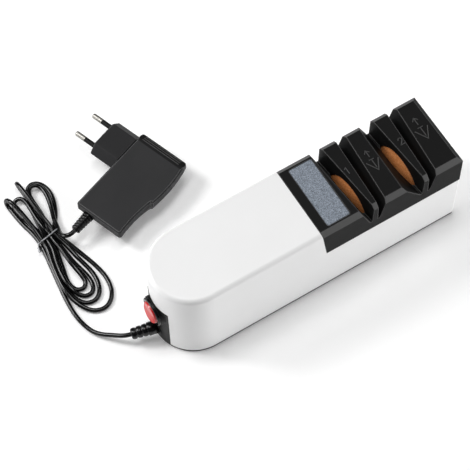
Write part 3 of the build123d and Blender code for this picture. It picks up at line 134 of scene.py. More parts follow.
FOLDS = {
    "left_fold": [
        (-5.2, 11.4, 2.3), (-5.6, 21.0, 1.7), (-5.2, 29.0, 1.7), (-4.6, 35.0, 1.7), (-4.0, 40.2, 1.8),
        (-3.6, 43.4, 4.0), (-3.0, 43.4, 7.4), (-2.4, 40.2, 9.6), (-1.8, 34.4, 9.5), (-2.0, 27.4, 9.0),
        (-2.6, 19.0, 8.4), (-3.4, 10.0, 7.4)
    ],
    "outer_bight": [
        (-6.0, -6.5, 5.4), (-9.2, -13.1, 4.9), (-12.8, -21.8, 4.9), (-16.0, -30.7, 4.9),
        (-18.3, -39.7, 4.9), (-18.9, -49.5, 4.2), (-16.9, -58.2, 2.6), (-12.7, -65.1, 1.7),
        (-5.4, -68.6, 1.7), (2.2, -66.1, 1.7), (7.9, -59.6, 1.7), (11.1, -49.7, 1.7), (11.4, -38.5, 1.7),
        (10.4, -27.7, 1.7), (9.3, -16.9, 1.8), (8.1, -7.6, 2.3)
    ],
    "outer_fold": [
        (9.6, 5.6, 2.2), (15.6, 10.6, 1.7), (22.3, 19.6, 1.7), (26.1, 28.4, 1.7), (26.4, 36.6, 1.7),
        (23.5, 42.2, 1.7), (18.5, 44.1, 1.7), (13.8, 41.0, 1.7), (10.2, 33.2, 1.7), (7.6, 22.8, 1.7),
        (5.5, 13.4, 1.8), (0.5, 5.8, 2.3)
    ],
    "second_bight": [
        (-5.0, -6.1, 2.3), (-7.8, -14.4, 1.7), (-11.7, -22.8, 1.7), (-14.5, -31.5, 1.7),
        (-16.3, -40.1, 1.7), (-16.5, -48.5, 1.7), (-13.9, -55.8, 1.7), (-7.4, -59.3, 1.7),
        (-0.5, -56.8, 1.7), (4.1, -49.6, 1.7), (6.2, -40.7, 1.7), (6.2, -31.4, 1.7), (5.8, -22.2, 2.4),
        (5.9, -12.7, 4.6)
    ],
    "tall_fold": [
        (6.9, 5.8, 6.4), (7.3, 14.2, 7.8), (8.5, 24.6, 8.8), (9.6, 33.2, 9.4), (10.4, 40.2, 9.6),
        (10.9, 45.8, 9.6), (11.4, 49.0, 7.4), (11.9, 49.0, 4.0), (12.0, 45.8, 1.8), (11.0, 39.6, 1.7),
        (8.6, 32.0, 1.7), (5.2, 23.0, 1.7), (2.2, 13.2, 2.6)
    ],
    "third_bight": [
        (-3.0, -8.5, 5.3), (-7.4, -17.0, 4.9), (-11.0, -25.6, 4.9), (-13.5, -34.1, 4.9),
        (-14.1, -41.8, 4.4), (-13.0, -48.3, 2.6), (-9.0, -52.6, 1.7), (-3.3, -52.8, 1.7),
        (0.5, -47.6, 1.7), (1.8, -39.9, 1.7), (1.6, -31.2, 1.7), (1.5, -22.5, 1.8), (2.7, -12.6, 2.3)
    ],
    "short_fold": [
        (2.6, 6.5, 4.6), (3.9, 17.9, 4.7), (5.7, 26.0, 4.8), (7.0, 31.8, 4.9), (7.0, 37.0, 4.9),
        (4.6, 40.2, 4.0), (0.8, 40.2, 2.6), (-1.6, 37.0, 1.7), (-2.2, 29.6, 1.7), (-1.9, 20.0, 1.7),
        (-1.4, 9.7, 2.3)
    ],
    "small_bight": [
        (-0.5, -8.6, 2.3), (-4.5, -17.6, 1.7), (-8.1, -26.2, 1.7), (-11.4, -33.3, 1.7),
        (-12.4, -39.6, 1.7), (-10.7, -44.6, 1.7), (-6.2, -46.4, 1.7), (-2.2, -43.4, 2.0),
        (-1.6, -37.5, 3.4), (-1.4, -30.1, 4.8), (-0.7, -22.5, 5.2), (1.0, -13.5, 5.6)
    ],
    "inner_fold": [
        (5.6, 7.2, 5.2), (8.9, 17.0, 4.9), (10.8, 28.6, 4.9), (12.6, 37.0, 4.9), (16.2, 41.0, 4.9),
        (20.8, 40.4, 4.9), (23.0, 36.0, 4.9), (22.4, 29.6, 4.9), (19.8, 22.4, 4.6), (16.6, 15.6, 4.4),
        (12.8, 9.0, 5.0), (10.6, 2.6, 5.4)
    ],
}

# The order in which the cord passes them.
WINDING = ["low_1", "left_fold", "high_1", "outer_bight", "low_5", "outer_fold",
           "low_2", "second_bight", "high_4", "tall_fold", "high_2", "third_bight",
           "low_4", "short_fold", "low_3", "small_bight", "high_3", "inner_fold"]


# %% The cord's route
def in_hank(u, v, height):
    """A point of the hank's plan, in metres in the scene."""
    across = Vector((math.cos(TIE_YAW), math.sin(TIE_YAW)))
    along = Vector((-math.sin(TIE_YAW), math.cos(TIE_YAW)))
    place = TIE_MIDDLE + across * u + along * v
    return Vector((place.x, place.y, height)) * MM


def cord_route():
    """The control points of the whole cord, from the sharpener's relief to the adapter's."""
    controls = [Vector(point) * MM for point in LEAD]
    for name in WINDING:
        if name in LANES:
            u, height = LANES[name]
            controls.append(in_hank(u, 0.0, height))
        else:
            controls += [in_hank(*point) for point in FOLDS[name]]
    return controls + [Vector(point) * MM for point in ADAPTER_LEAD]


def round_curve(name, routes, diameter, closed=False):
    """A curve object of smooth splines with a round section. Sizes in metres."""
    data = bpy.data.curves.new(name, "CURVE")
    data.dimensions = "3D"
    data.bevel_depth = 1.0
    data.bevel_resolution = CURVE_BEVEL_STEPS
    data.resolution_u = CURVE_STEPS
    data.use_fill_caps = True
    for line in routes:
        spline = data.splines.new("NURBS")
        spline.points.add(len(line) - 1)
        for control, place in zip(spline.points, line):
            control.co = (*place, 1.0)
            control.radius = diameter / 2
        spline.use_cyclic_u = closed
        spline.order_u = 3
        spline.use_endpoint_u = not closed
    made = bpy.data.objects.new(name, data)
    scene.collection.objects.link(made)
    return made


def spline_length(curve):
    """The length of a curve object's line, in metres."""
    bare = curve.data.copy()
    bare.bevel_depth = 0.0
    carrier = bpy.data.objects.new("measure", bare)
    mesh = bpy.data.meshes.new_from_object(carrier)
    places = [vertex.co for vertex in mesh.vertices]
    length = sum((b - a).length for a, b in zip(places, places[1:]))
    bpy.data.objects.remove(carrier)
    bpy.data.meshes.remove(mesh)
    return length


route = cord_route()
cord = round_curve("cord", [route], CORD_DIAMETER * MM)
cord_length = spline_length(cord)
print("cord:", len(route), "control points, length", round(cord_length, 3), "m")

# %% [markdown]
# ## The twist tie
#
# A twist tie is a thin steel wire in a grey plastic coat. It goes once round the nine
# strands, its two ends are twisted together at the hank's left side, and the tips curl. The
# loop is a closed NURBS curve through a rounded rectangle, and the ends are one helix each,
# half a turn apart.

# %% The twist tie
TIE_DIAMETER = 1.1
TIE_HALF_WIDTH = 9.1
TIE_LOW = 0.6
TIE_HIGH = 8.0
TIE_CORNER = 2.0
TWIST_TURNS = 2.5
TWIST_LENGTH = 6.0
TWIST_RADIUS = 0.6
TWIST_STEPS = 22
TWIST_LOW = 3.4            # height of the ends where they leave the loop
TWIST_RISE = 1.6
TWIST_CURL = 2.4           # radians that the tips have curled through
TWIST_CURL_REACH = 1.6     # how far the curl swings out
TWIST_SHORTENING = 0.25    # share of the length that the curl takes up


def tie_loop():
    """The loop's control points, with two at each rounded corner."""
    left, right = -TIE_HALF_WIDTH, TIE_HALF_WIDTH
    corners = [(left, TIE_LOW + TIE_CORNER), (left, TIE_LOW), (left + TIE_CORNER, TIE_LOW),
               (right - TIE_CORNER, TIE_LOW), (right, TIE_LOW), (right, TIE_LOW + TIE_CORNER),
               (right, TIE_HIGH - TIE_CORNER), (right, TIE_HIGH), (right - TIE_CORNER, TIE_HIGH),
               (left + TIE_CORNER, TIE_HIGH), (left, TIE_HIGH), (left, TIE_HIGH - TIE_CORNER)]
    return [in_hank(u, 0.0, height) for u, height in corners]


def tie_end(phase):
    """One end: a helix that leaves the loop's left side, lies down and curls at its tip."""
    places = []
    for step in range(TWIST_STEPS + 1):
        share = step / TWIST_STEPS
        angle = phase + share * TWIST_TURNS * 2 * math.pi
        swing = math.sin(share * share * TWIST_CURL) * TWIST_CURL_REACH
        u = -TIE_HALF_WIDTH - TWIST_RADIUS - swing + TWIST_RADIUS * math.cos(angle)
        v = -share * TWIST_LENGTH * (1 - TWIST_SHORTENING * share)
        height = TWIST_LOW + TWIST_RISE * share + TWIST_RADIUS * math.sin(angle)
        places.append(in_hank(u, v, height))
    return places


hank_tie = round_curve("twist_tie", [tie_loop()], TIE_DIAMETER * MM, closed=True)
tie_ends = round_curve("twist_tie_ends", [tie_end(0.0), tie_end(math.pi)], TIE_DIAMETER * MM)
for piece in (hank_tie, tie_ends):
    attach(piece, "casing")
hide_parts("hank_tie")
print("twist tie:", round(2 * TIE_HALF_WIDTH, 1), "mm wide")

# %% [markdown]
# ## The ribbed reliefs
#
# A soft PVC relief is moulded over each end of the cord, so that the cord can't kink where it
# leaves a housing. Its rings have round tops with narrow grooves between them, and its root
# is a thicker collar. A lathe is the quickest way to such a shape: a profile is worked out
# along the cord's own line and turned about it. The rounded rings catch the light one by one,
# which square ones of the same black would not.

# %% The ribbed reliefs
FACES_ROUND = 36
RING_STEPS = 10
GROOVE_DEPTH = 0.9
RING_SQUARENESS = 0.4      # 1 gives a half-wave, and less gives broad tops and narrow grooves
COLLAR_ROUNDING = 0.6
# How far the collar's rounding has come along the cord and out from it, as shares of itself.
COLLAR_CURVE = ((0.2, 0.0), (0.5, 0.8), (1.0, 1.0))


def relief_profile(length, collar, tip_radius, root_radius, rings, sunk):
    """Distances from the tip and radii, in millimetres, from the tip's face to the sunk root."""
    profile = []
    pitch = (length - collar) / rings
    for step in range(rings * RING_STEPS + 1):
        place = step * pitch / RING_STEPS
        outside = tip_radius + (root_radius - tip_radius) * place / length
        swell = abs(math.sin(math.pi * step / RING_STEPS)) ** RING_SQUARENESS
        profile.append((place, outside - GROOVE_DEPTH * (1 - swell)))
    for along, out in COLLAR_CURVE:
        place = length - collar + along * COLLAR_ROUNDING
        profile.append((place, root_radius - (1 - out) * COLLAR_ROUNDING))
    return profile + [(length + sunk, root_radius)]


def turned_piece(name, profile, tip, towards):
    """A closed lathe form. Its profile starts at tip and runs in the direction of towards."""
    mesh = bmesh.new()
    rings = []
    angles = [2 * math.pi * step / FACES_ROUND for step in range(FACES_ROUND)]
    for place, radius in profile:
        ring = [Vector((radius * math.cos(angle), radius * math.sin(angle), place))
                for angle in angles]
        rings.append([mesh.verts.new(point * MM) for point in ring])
    mesh.faces.new(list(reversed(rings[0])))
    mesh.faces.new(rings[-1])
    for near, far in zip(rings, rings[1:]):
        for first in range(FACES_ROUND):
            second = (first + 1) % FACES_ROUND
            mesh.faces.new((near[first], near[second], far[second], far[first])).smooth = True
    turn = towards.to_track_quat("Z", "Y").to_matrix().to_4x4()
    mesh.transform(Matrix.Translation(tip) @ turn)
    data = bpy.data.meshes.new(name)
    mesh.to_mesh(data)
    mesh.free()
    made = bpy.data.objects.new(name, data)
    scene.collection.objects.link(made)
    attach(made, "casing")
    return made


rear_profile = relief_profile(length=16.9, collar=5.2, tip_radius=4.1, root_radius=4.9,
                              rings=3, sunk=2.6)
adapter_profile = relief_profile(length=14.5, collar=2.4, tip_radius=3.6, root_radius=4.3,
                                 rings=5, sunk=0.6)
rear_relief = turned_piece("rear_relief", rear_profile, route[0], route[0] - route[1])
adapter_relief = turned_piece("adapter_relief", adapter_profile, route[-1],
                              route[-1] - route[-2])
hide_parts("cord_strain_relief")
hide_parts("adapter_strain_relief")
print("reliefs:", [len(piece.data.polygons) for piece in (rear_relief, adapter_relief)], "faces")

# %% The cord in the model
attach(cord, "casing")
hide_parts("lead_cord", "cord_hank", "adapter_lead")

# %% [markdown]
# ## Tools for finishes
#
# Every finish is a node tree of its own, and a few helpers keep the trees short. One turns a
# hex colour into the linear numbers that Blender calculates with, one adds a node with its
# settings and links, and one starts a material. The others add the four nodes that nearly
# every finish needs: a noise, a change of range, a blend of two colours and a bump. Patterns
# use object coordinates, which are metres here, so a pattern's scale is one over its real
# size, and every pattern below is given by its size in millimetres.

# %% Colour and node helpers
WHITE = "#ffffff"
# A colour Mix node's sockets go by number: its share, its two colours and its result.
MIX_SHARE, MIX_FIRST, MIX_SECOND, MIX_RESULT = 0, 6, 7, 2


def linear(hex_colour):
    """An sRGB hex colour as linear RGBA."""
    shares = [int(hex_colour[place:place + 2], 16) / 255 for place in (1, 3, 5)]
    return tuple(share / 12.92 if share <= 0.04045 else ((share + 0.055) / 1.055) ** 2.4
                 for share in shares) + (1.0,)


def add(tree, kind, links=None, **settings):
    """Adds a node. settings are its own, and links are its inputs: values or outputs to join."""
    made = tree.nodes.new("ShaderNode" + kind)
    for name, value in settings.items():
        setattr(made, name, value)
    for name, value in (links or {}).items():
        if isinstance(value, bpy.types.NodeSocket):
            tree.links.new(value, made.inputs[name])
        else:
            made.inputs[name].default_value = value
    return made


def start(name, colour, roughness, **sockets):
    """A new material. Returns it, its tree, its surface shader and its object coordinates."""
    material = bpy.data.materials.new(name)
    material.use_nodes = True
    tree = material.node_tree
    shader = tree.nodes["Principled BSDF"]
    shader.inputs["Base Color"].default_value = linear(colour)
    shader.inputs["Roughness"].default_value = roughness
    for socket, value in sockets.items():
        shader.inputs[socket.replace("_", " ")].default_value = value
    places = add(tree, "TexCoord").outputs["Object"]
    return material, tree, shader, places


def per_mm(size):
    """The texture scale whose features are about this many millimetres across."""
    return 1 / MM / size


def noise(tree, places, size_mm, detail, roughness=0.5):
    """Cloudy noise, from 0 to 1, with features of about size_mm."""
    links = {"Vector": places, "Scale": per_mm(size_mm), "Detail": detail, "Roughness": roughness}
    return add(tree, "TexNoise", links).outputs["Fac"]


def remap(tree, value, low=0.0, high=1.0, to_low=0.0, to_high=1.0):
    """Carries a value from one range over to another."""
    links = {"Value": value, "From Min": low, "From Max": high, "To Min": to_low,
             "To Max": to_high}
    return add(tree, "MapRange", links).outputs["Result"]


def blend(tree, share, first, second):
    """A blend of two colours: the first at a share of 0 and the second at 1."""
    links = {MIX_SHARE: share, MIX_FIRST: first, MIX_SECOND: second}
    return add(tree, "Mix", links, data_type="RGBA").outputs[MIX_RESULT]


def bump(tree, height, depth_mm, **links):
    """A normal tipped by a pattern of heights that is depth_mm deep."""
    links.update({"Height": height, "Distance": depth_mm * MM})
    return add(tree, "Bump", links).outputs["Normal"]


# %% [markdown]
# ## Moulded plastics
#
# The housing is white ABS, moulded in a tool with a fine spark-eroded grain. It looks smooth
# from a metre away, but the grain spreads every reflection into a soft sheen. The head is
# black ABS with a coarser grain, so it looks nearly matt and only its edges catch the light.
# The adapter is black ABS too, with a shallower grain, and it reads as dark grey.
#
# A moulding is never quite even: its colour drifts by a few parts in a hundred and its
# gloss changes where hands have polished it. One broad noise drives both. A fine noise gives
# the grain. The sharp edges of the CAD model are rounded in the shading alone, by a bevel
# node as wide as the real edge radius, and they are painted lighter: a painted highlight for
# the light that their rounding catches, with some rubbing wear from hands and knives. Two
# faces have a finish of their own: the sloped ends of the head's blocks are painted lighter
# grey, a painted highlight as if a light fell on them from the front, and the adapter's
# sloped grip is moulded darker.

# %% Moulded plastic
DRIFT_MM = 28.0
BEVEL_SAMPLES = 6
# The cosines between the rounded and the flat normal where the painted edge highlight starts and is
# complete.
EDGE_STARTS, EDGE_FULL = 0.995, 0.93


def edge_share(tree, rounded):
    """How much of a rounded edge shows: 0 on a flat face, 1 where the surface turns away."""
    flat = add(tree, "NewGeometry").outputs["Normal"]
    agree = add(tree, "VectorMath", {0: rounded, 1: flat}, operation="DOT_PRODUCT")
    return remap(tree, agree.outputs["Value"], EDGE_STARTS, EDGE_FULL)


def finish_facets(material, facing, starts, full, colour):
    """Recolours the faces that look along facing or its mirror, between two cosines to it."""
    tree = material.node_tree
    colour_socket = tree.nodes["Principled BSDF"].inputs["Base Color"]
    body = colour_socket.links[0].from_socket
    normal = add(tree, "NewGeometry").outputs["Normal"]
    mirrored = add(tree, "VectorMath", {0: normal}, operation="ABSOLUTE").outputs["Vector"]
    direction = Vector(facing).normalized()
    agree = add(tree, "VectorMath", {0: mirrored, 1: direction}, operation="DOT_PRODUCT")
    share = remap(tree, agree.outputs["Value"], starts, full)
    tree.links.new(blend(tree, share, body, linear(colour)), colour_socket)


def moulded(name, colours, roughness, gloss_drift, grain_mm, grain_depth_mm, edge_mm, **sockets):
    """Moulded plastic with a fine grain. colours are the two it drifts between and its edges' painted
    highlight.
    """
    first, second, edge_highlight = (linear(colour) for colour in colours)
    material, tree, shader, places = start(name, colours[0], roughness, **sockets)
    drift = noise(tree, places, DRIFT_MM, detail=3.0)
    tint = blend(tree, drift, first, second)
    gloss = remap(tree, drift, to_low=roughness - gloss_drift, to_high=roughness + gloss_drift)
    grain = noise(tree, places, grain_mm, detail=4.0, roughness=0.6)
    edge = add(tree, "Bevel", {"Radius": edge_mm * MM}, samples=BEVEL_SAMPLES).outputs["Normal"]
    # Painted highlight: rounded edges are blended towards the edge colour, standing in for the light
    # they catch, with some rubbing wear.
    tint_and_edge_highlight = blend(tree, edge_share(tree, edge), tint, edge_highlight)
    relief = bump(tree, grain, grain_depth_mm, Normal=edge)
    tree.links.new(tint_and_edge_highlight, shader.inputs["Base Color"])
    tree.links.new(gloss, shader.inputs["Roughness"])
    tree.links.new(relief, shader.inputs["Normal"])
    return material


# Each plastic's third colour is its edges' painted highlight, with some rubbing wear.
white_abs = moulded("white_abs_spark_grain", ("#ececec", "#e8e8e8", "#efefef"),
                    roughness=0.36, gloss_drift=0.05, grain_mm=0.9, grain_depth_mm=0.006,
                    edge_mm=0.25, IOR=1.54)
head_abs = moulded("black_abs_matt_grain", ("#151515", "#1c1c1c", "#5e5e5e"),
                   roughness=0.48, gloss_drift=0.06, grain_mm=0.7, grain_depth_mm=0.02,
                   edge_mm=0.9, Specular_IOR_Level=0.05)
panel_abs = moulded("black_abs_fine_grain", ("#0c0c0c", "#101010", "#2a2a2a"),
                    roughness=0.42, gloss_drift=0.05, grain_mm=0.8, grain_depth_mm=0.01,
                    edge_mm=0.3, Specular_IOR_Level=0.15)
mark_abs = moulded("black_abs_raised_marks", ("#3c3c3c", "#444444", "#5a5a5a"),
                   roughness=0.5, gloss_drift=0.05, grain_mm=0.7, grain_depth_mm=0.01,
                   edge_mm=0.2, Specular_IOR_Level=0.2)
adapter_abs = moulded("black_abs_satin_case", ("#2b2b2c", "#343435", "#707070"),
                      roughness=0.5, gloss_drift=0.06, grain_mm=0.8, grain_depth_mm=0.012,
                      edge_mm=0.9, Specular_IOR_Level=0.12)
plug_abs = moulded("black_abs_plug_block", ("#252526", "#2d2d2e", "#505050"),
                   roughness=0.5, gloss_drift=0.05, grain_mm=0.8, grain_depth_mm=0.012,
                   edge_mm=0.6, Specular_IOR_Level=0.1)
switch_nylon = moulded("black_nylon_glossy", ("#080808", "#0c0c0c", "#1c1c1c"),
                       roughness=0.22, gloss_drift=0.04, grain_mm=1.2, grain_depth_mm=0.003,
                       edge_mm=0.2, Specular_IOR_Level=0.3)
grey_nylon = moulded("grey_glass_filled_nylon", ("#56575a", "#4c4d50", "#606164"),
                     roughness=0.55, gloss_drift=0.08, grain_mm=0.9, grain_depth_mm=0.02,
                     edge_mm=0.3, IOR=1.53)
foot_rubber = moulded("black_nitrile_rubber", ("#1b1b1b", "#232323", "#2a2a2a"),
                      roughness=0.82, gloss_drift=0.06, grain_mm=1.1, grain_depth_mm=0.03,
                      edge_mm=0.3, IOR=1.52)
# Painted highlight: the head's sloped block ends are painted lighter grey, as if a light fell on them
# from the front.
finish_facets(head_abs, facing=(0.0, 1.0, 1.0), starts=0.9, full=0.97, colour="#565656")
finish_facets(adapter_abs, facing=(0.339, 0.123, 0.933), starts=0.965, full=0.99,
              colour="#151515")
print("plastics:", len(bpy.data.materials))

# %% [markdown]
# ## Soft PVC
#
# The cord and its reliefs are soft black PVC. It leaves the extruder glossy, so it shows
# long narrow highlights, and handling leaves dull smears. The smears are a noise with patches
# a centimetre or two across, which raises the roughness in them.

# %% Soft PVC
SMEAR_MM = 14.0
SMEAR_STARTS, SMEAR_FULL = 0.4, 0.7   # the noise's levels where a smear fades in and is complete
RIPPLE_DEPTH_MM = 0.02


def soft_pvc(name, colour, roughness, dull_roughness, ripple_mm):
    """Extruded PVC: glossy, with duller smears and a slight ripple of the skin."""
    material, tree, shader, places = start(name, colour, roughness, IOR=1.53,
                                           Specular_IOR_Level=0.36)
    smear = noise(tree, places, SMEAR_MM, detail=4.0, roughness=0.65)
    gloss = remap(tree, smear, SMEAR_STARTS, SMEAR_FULL, roughness, dull_roughness)
    skin = noise(tree, places, ripple_mm, detail=2.0)
    relief = bump(tree, skin, RIPPLE_DEPTH_MM)
    tree.links.new(gloss, shader.inputs["Roughness"])
    tree.links.new(relief, shader.inputs["Normal"])
    return material


cord_pvc = soft_pvc("black_pvc_cord", "#050506", 0.14, dull_roughness=0.26, ripple_mm=2.2)
relief_pvc = soft_pvc("black_pvc_relief", "#070708", 0.2, dull_roughness=0.34, ripple_mm=1.6)
red_wire_pvc = soft_pvc("red_pvc_wire", "#a3161a", 0.32, dull_roughness=0.45, ripple_mm=1.5)

# %% [markdown]
# ## Abrasives
#
# The whetstone is sintered aluminium oxide: grey-blue grit in a glassy bond, sawn flat. Its
# real grit is about 0.1 mm, too fine to show from here, so it is drawn at 0.42 mm. Light and
# dark grains come from a Voronoi pattern, whose cells are the grains, and a noise a little
# coarser than the grains gives the pores between them.
#
# The wheels are orange-brown bonded grit, turned to shape on their own shaft. Turning
# leaves faint rings round the axis. The rings are a noise that depends on the distance from
# the axis and the place along it. Both wheels share one material, so their axis is read from
# the fine wheel's box. The bond's resin lies over the grit like a thin varnish, which a clear
# coat gives.

# %% Abrasives
GRIT_STOPS = (0.12, 0.5, 0.95)   # where the dark, middle and light grains have their full colour
PORE_SHARE = 1.6                 # a pore's size as a share of a grain's
RING_MM = 1.1
RING_SHADES = (0.82, 1.12)       # the darkest and the lightest ring
VECTOR_SCALE = 3                 # the socket number of a Scale vector node's factor


def grit(name, colours, grain_mm, roughness, depth_mm, **sockets):
    """Bonded grit in dark, middle and light. Returns its material, tree, shader and colour."""
    dark, middle, light = (linear(colour) for colour in colours)
    material, tree, shader, places = start(name, colours[1], roughness, IOR=1.6, **sockets)
    cells = add(tree, "TexVoronoi", {"Vector": places, "Scale": per_mm(grain_mm)})
    shade = add(tree, "SeparateColor", {"Color": cells.outputs["Color"]})
    ramp = add(tree, "ValToRGB", {"Fac": shade.outputs["Red"]})
    stops = ramp.color_ramp.elements
    stops[0].color, stops[0].position = dark, GRIT_STOPS[0]
    stops[1].color, stops[1].position = light, GRIT_STOPS[2]
    stops.new(GRIT_STOPS[1]).color = middle
    pores = noise(tree, places, grain_mm * PORE_SHARE, detail=5.0, roughness=0.7)
    relief = bump(tree, pores, depth_mm)
    tree.links.new(ramp.outputs["Color"], shader.inputs["Base Color"])
    tree.links.new(relief, shader.inputs["Normal"])
    return material, tree, shader, ramp.outputs["Color"]


def wheel_grit(name):
    """Turned wheel face: the grit, shaded by faint rings round the shaft."""
    material, tree, shader, colour = grit(name, ("#b4672f", "#d2834a", "#e6a06a"), grain_mm=0.3,
                                          roughness=0.38, depth_mm=0.008, Coat_Weight=0.8,
                                          Coat_Roughness=0.22)
    places = add(tree, "TexCoord").outputs["Object"]
    low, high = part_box("fine_wheel")
    from_axis = add(tree, "VectorMath", {0: places, 1: (low + high) / 2}, operation="SUBTRACT")
    parts = add(tree, "SeparateXYZ", {"Vector": from_axis.outputs["Vector"]}).outputs
    flat = add(tree, "CombineXYZ", {"X": 0.0, "Y": parts["Y"], "Z": parts["Z"]})
    radius = add(tree, "VectorMath", {0: flat.outputs["Vector"]}, operation="LENGTH")
    lookup = add(tree, "CombineXYZ", {"X": parts["X"], "Y": radius.outputs["Value"], "Z": 0.0})
    rings = noise(tree, lookup.outputs["Vector"], RING_MM, detail=2.0)
    shade = remap(tree, rings, to_low=RING_SHADES[0], to_high=RING_SHADES[1])
    tinted = add(tree, "VectorMath", {0: colour, VECTOR_SCALE: shade}, operation="SCALE")
    tree.links.new(tinted.outputs["Vector"], shader.inputs["Base Color"])
    return material


whetstone_grit = grit("sintered_aluminium_oxide", ("#5a626c", "#767e89", "#969fab"),
                      grain_mm=0.42, roughness=0.8, depth_mm=0.03)[0]
wheel_abrasive = wheel_grit("orange_bonded_abrasive")
print("materials so far:", len(bpy.data.materials))

# %% [markdown]
# ## Metals
#
# Turned steel shows fine rings, drawn and plated steel is duller and cloudy, the nickel plate
# on the pins is slightly uneven, and the bushes are sintered bronze with open pores. They are
# all one recipe: a metal's colour, a cloudy roughness and a fine noise of heights. For turned
# steel that noise is stretched round the shaft, which runs along X.

# %% Metals
CLOUD_MM = 9.0


def metal(name, colour, roughness, clouds, streak_mm, stretch=(1.0, 1.0, 1.0), depth_mm=0.004):
    """A bare or plated metal with cloudy gloss and fine streaks."""
    material, tree, shader, places = start(name, colour, roughness, Metallic=1.0)
    cloudy = noise(tree, places, CLOUD_MM, detail=4.0)
    gloss = remap(tree, cloudy, to_low=roughness - clouds, to_high=roughness + clouds)
    stretched = add(tree, "Mapping", {"Vector": places, "Scale": stretch})
    streaks = noise(tree, stretched.outputs["Vector"], streak_mm, detail=3.0)
    relief = bump(tree, streaks, depth_mm)
    tree.links.new(gloss, shader.inputs["Roughness"])
    tree.links.new(relief, shader.inputs["Normal"])
    return material


turned_steel = metal("turned_carbon_steel", "#b4b4b6", 0.3, clouds=0.08, streak_mm=0.6,
                     stretch=(1.0, 0.1, 0.1))
motor_steel = metal("zinc_plated_drawn_steel", "#a6a8ab", 0.42, clouds=0.1, streak_mm=0.9)
screw_steel = metal("zinc_plated_screw_steel", "#b9bbbe", 0.35, clouds=0.08, streak_mm=0.8)
bush_bronze = metal("sintered_bronze", "#9c6a3c", 0.5, clouds=0.1, streak_mm=0.5, depth_mm=0.02)
terminal_brass = metal("stamped_brass", "#c8a050", 0.34, clouds=0.08, streak_mm=0.9)
pin_nickel = metal("nickel_plated_brass", "#a3a19c", 0.4, clouds=0.06, streak_mm=1.2,
                   stretch=(0.3, 0.3, 0.3))
tie_wire = metal("coated_tie_wire", "#a9aaad", 0.34, clouds=0.08, streak_mm=0.8)

# %% [markdown]
# ## The red rocker
#
# The rocker is clear red polycarbonate over a dark cavity, so it glows where light enters
# its raised edge and goes deep red in the middle. Full glass would turn black at this size;
# a mostly opaque body with some subsurface light and a clear coat gives the same look.

# %% Translucent red polycarbonate
LIGHT_REACH_MM = 1.5   # how far red light travels inside the plastic
FLOW_MM = 9.0

rocker_red, tree, shader, places = start(
    "red_polycarbonate", "#c9140f", 0.3, IOR=1.5, Coat_Weight=0.2, Coat_Roughness=0.12,
    Subsurface_Weight=0.3, Subsurface_Radius=(1.0, 0.12, 0.08),
    Subsurface_Scale=LIGHT_REACH_MM * MM)
flow = noise(tree, places, FLOW_MM, detail=1.0)
red_shade = blend(tree, flow, linear("#bd0f0e"), linear("#cf1a14"))
tree.links.new(red_shade, shader.inputs["Base Color"])

# %% Which node gets which finish
FINISHES = {
    white_abs: ["housing_shell"],
    head_abs: ["head_cap"],
    whetstone_grit: ["whetstone"],
    wheel_abrasive: ["coarse_wheel", "fine_wheel"],
    panel_abs: ["base_plate", "rear_panel", "motor_end_cap", "pin_sleeves"],
    switch_nylon: ["switch_body"],
    rocker_red: ["rocker"],
    relief_pvc: ["cord_strain_relief", "adapter_strain_relief"],
    red_wire_pvc: ["inner_wires"],
    foot_rubber: ["rubber_feet"],
    grey_nylon: ["motor_cradle", "rear_bracket", "front_bracket"],
    motor_steel: ["motor_can", "motor_strap"],
    screw_steel: ["base_screws", "strap_screws", "lock_nut"],
    turned_steel: ["motor_shaft", "shaft_coupling", "wheel_shaft", "rear_collar", "thrust_collar",
                   "coarse_hub", "fine_hub", "coarse_washer", "fine_washer", "spacer_sleeve"],
    bush_bronze: ["rear_bush", "front_bush"],
    terminal_brass: ["switch_terminals", "motor_terminals"],
    adapter_abs: ["adapter_case_top", "adapter_case_bottom"],
    plug_abs: ["plug_block"],
    pin_nickel: ["plug_pins"],
    cord_pvc: ["lead_cord", "cord_hank", "adapter_lead"],
    tie_wire: ["hank_tie"],
}


def give(piece, material):
    """Makes a material the only one on an object."""
    piece.data.materials.clear()
    piece.data.materials.append(material)


for material, names in FINISHES.items():
    for name in names:
        give(nodes[name], material)
give(cord, cord_pvc)
for piece in (hank_tie, tie_ends):
    give(piece, tie_wire)
for piece in (rear_relief, adapter_relief):
    give(piece, relief_pvc)
print("nodes with a finish:", sum(len(names) for names in FINISHES.values()), "of", len(nodes))

# %% [markdown]
# ## Raised marks on the head
#
# Small marks stand a third of a millimetre out of the head's top: a blade in a notch beside
# each pair of slots, and plain numbers for the order in which the wheels are used. They are
# strokes with sloping sides, as a mould leaves them. Each mark is one mesh, sunk a little
# into the face below it so that no gap shows.

# %% Raised marks
MARK_HEIGHT = 0.35
MARK_SUNK = 0.05
STROKE_WIDTH = 0.75
STROKE_SLOPE = 0.15

NOTCH = [[(-4.2, 4.0), (0.0, -3.4), (4.2, 4.0)]]
BLADE = [[(0.0, 5.2), (0.0, -1.0)], [(-1.5, 5.2), (1.5, 5.2)]]
ARROW = [[(0.0, 7.4), (0.0, 12.2)], [(-1.6, 10.4), (0.0, 12.2), (1.6, 10.4)]]
DRAWN_BLADE = NOTCH + BLADE + ARROW
NUMBER_ONE = [[(-1.1, 1.5), (0.1, 2.6), (0.1, -2.6)]]
NUMBER_TWO = [[(-1.4, 1.5), (-0.8, 2.5), (0.6, 2.6), (1.4, 1.8), (1.2, 0.5), (-1.5, -2.6),
               (1.5, -2.6)]]


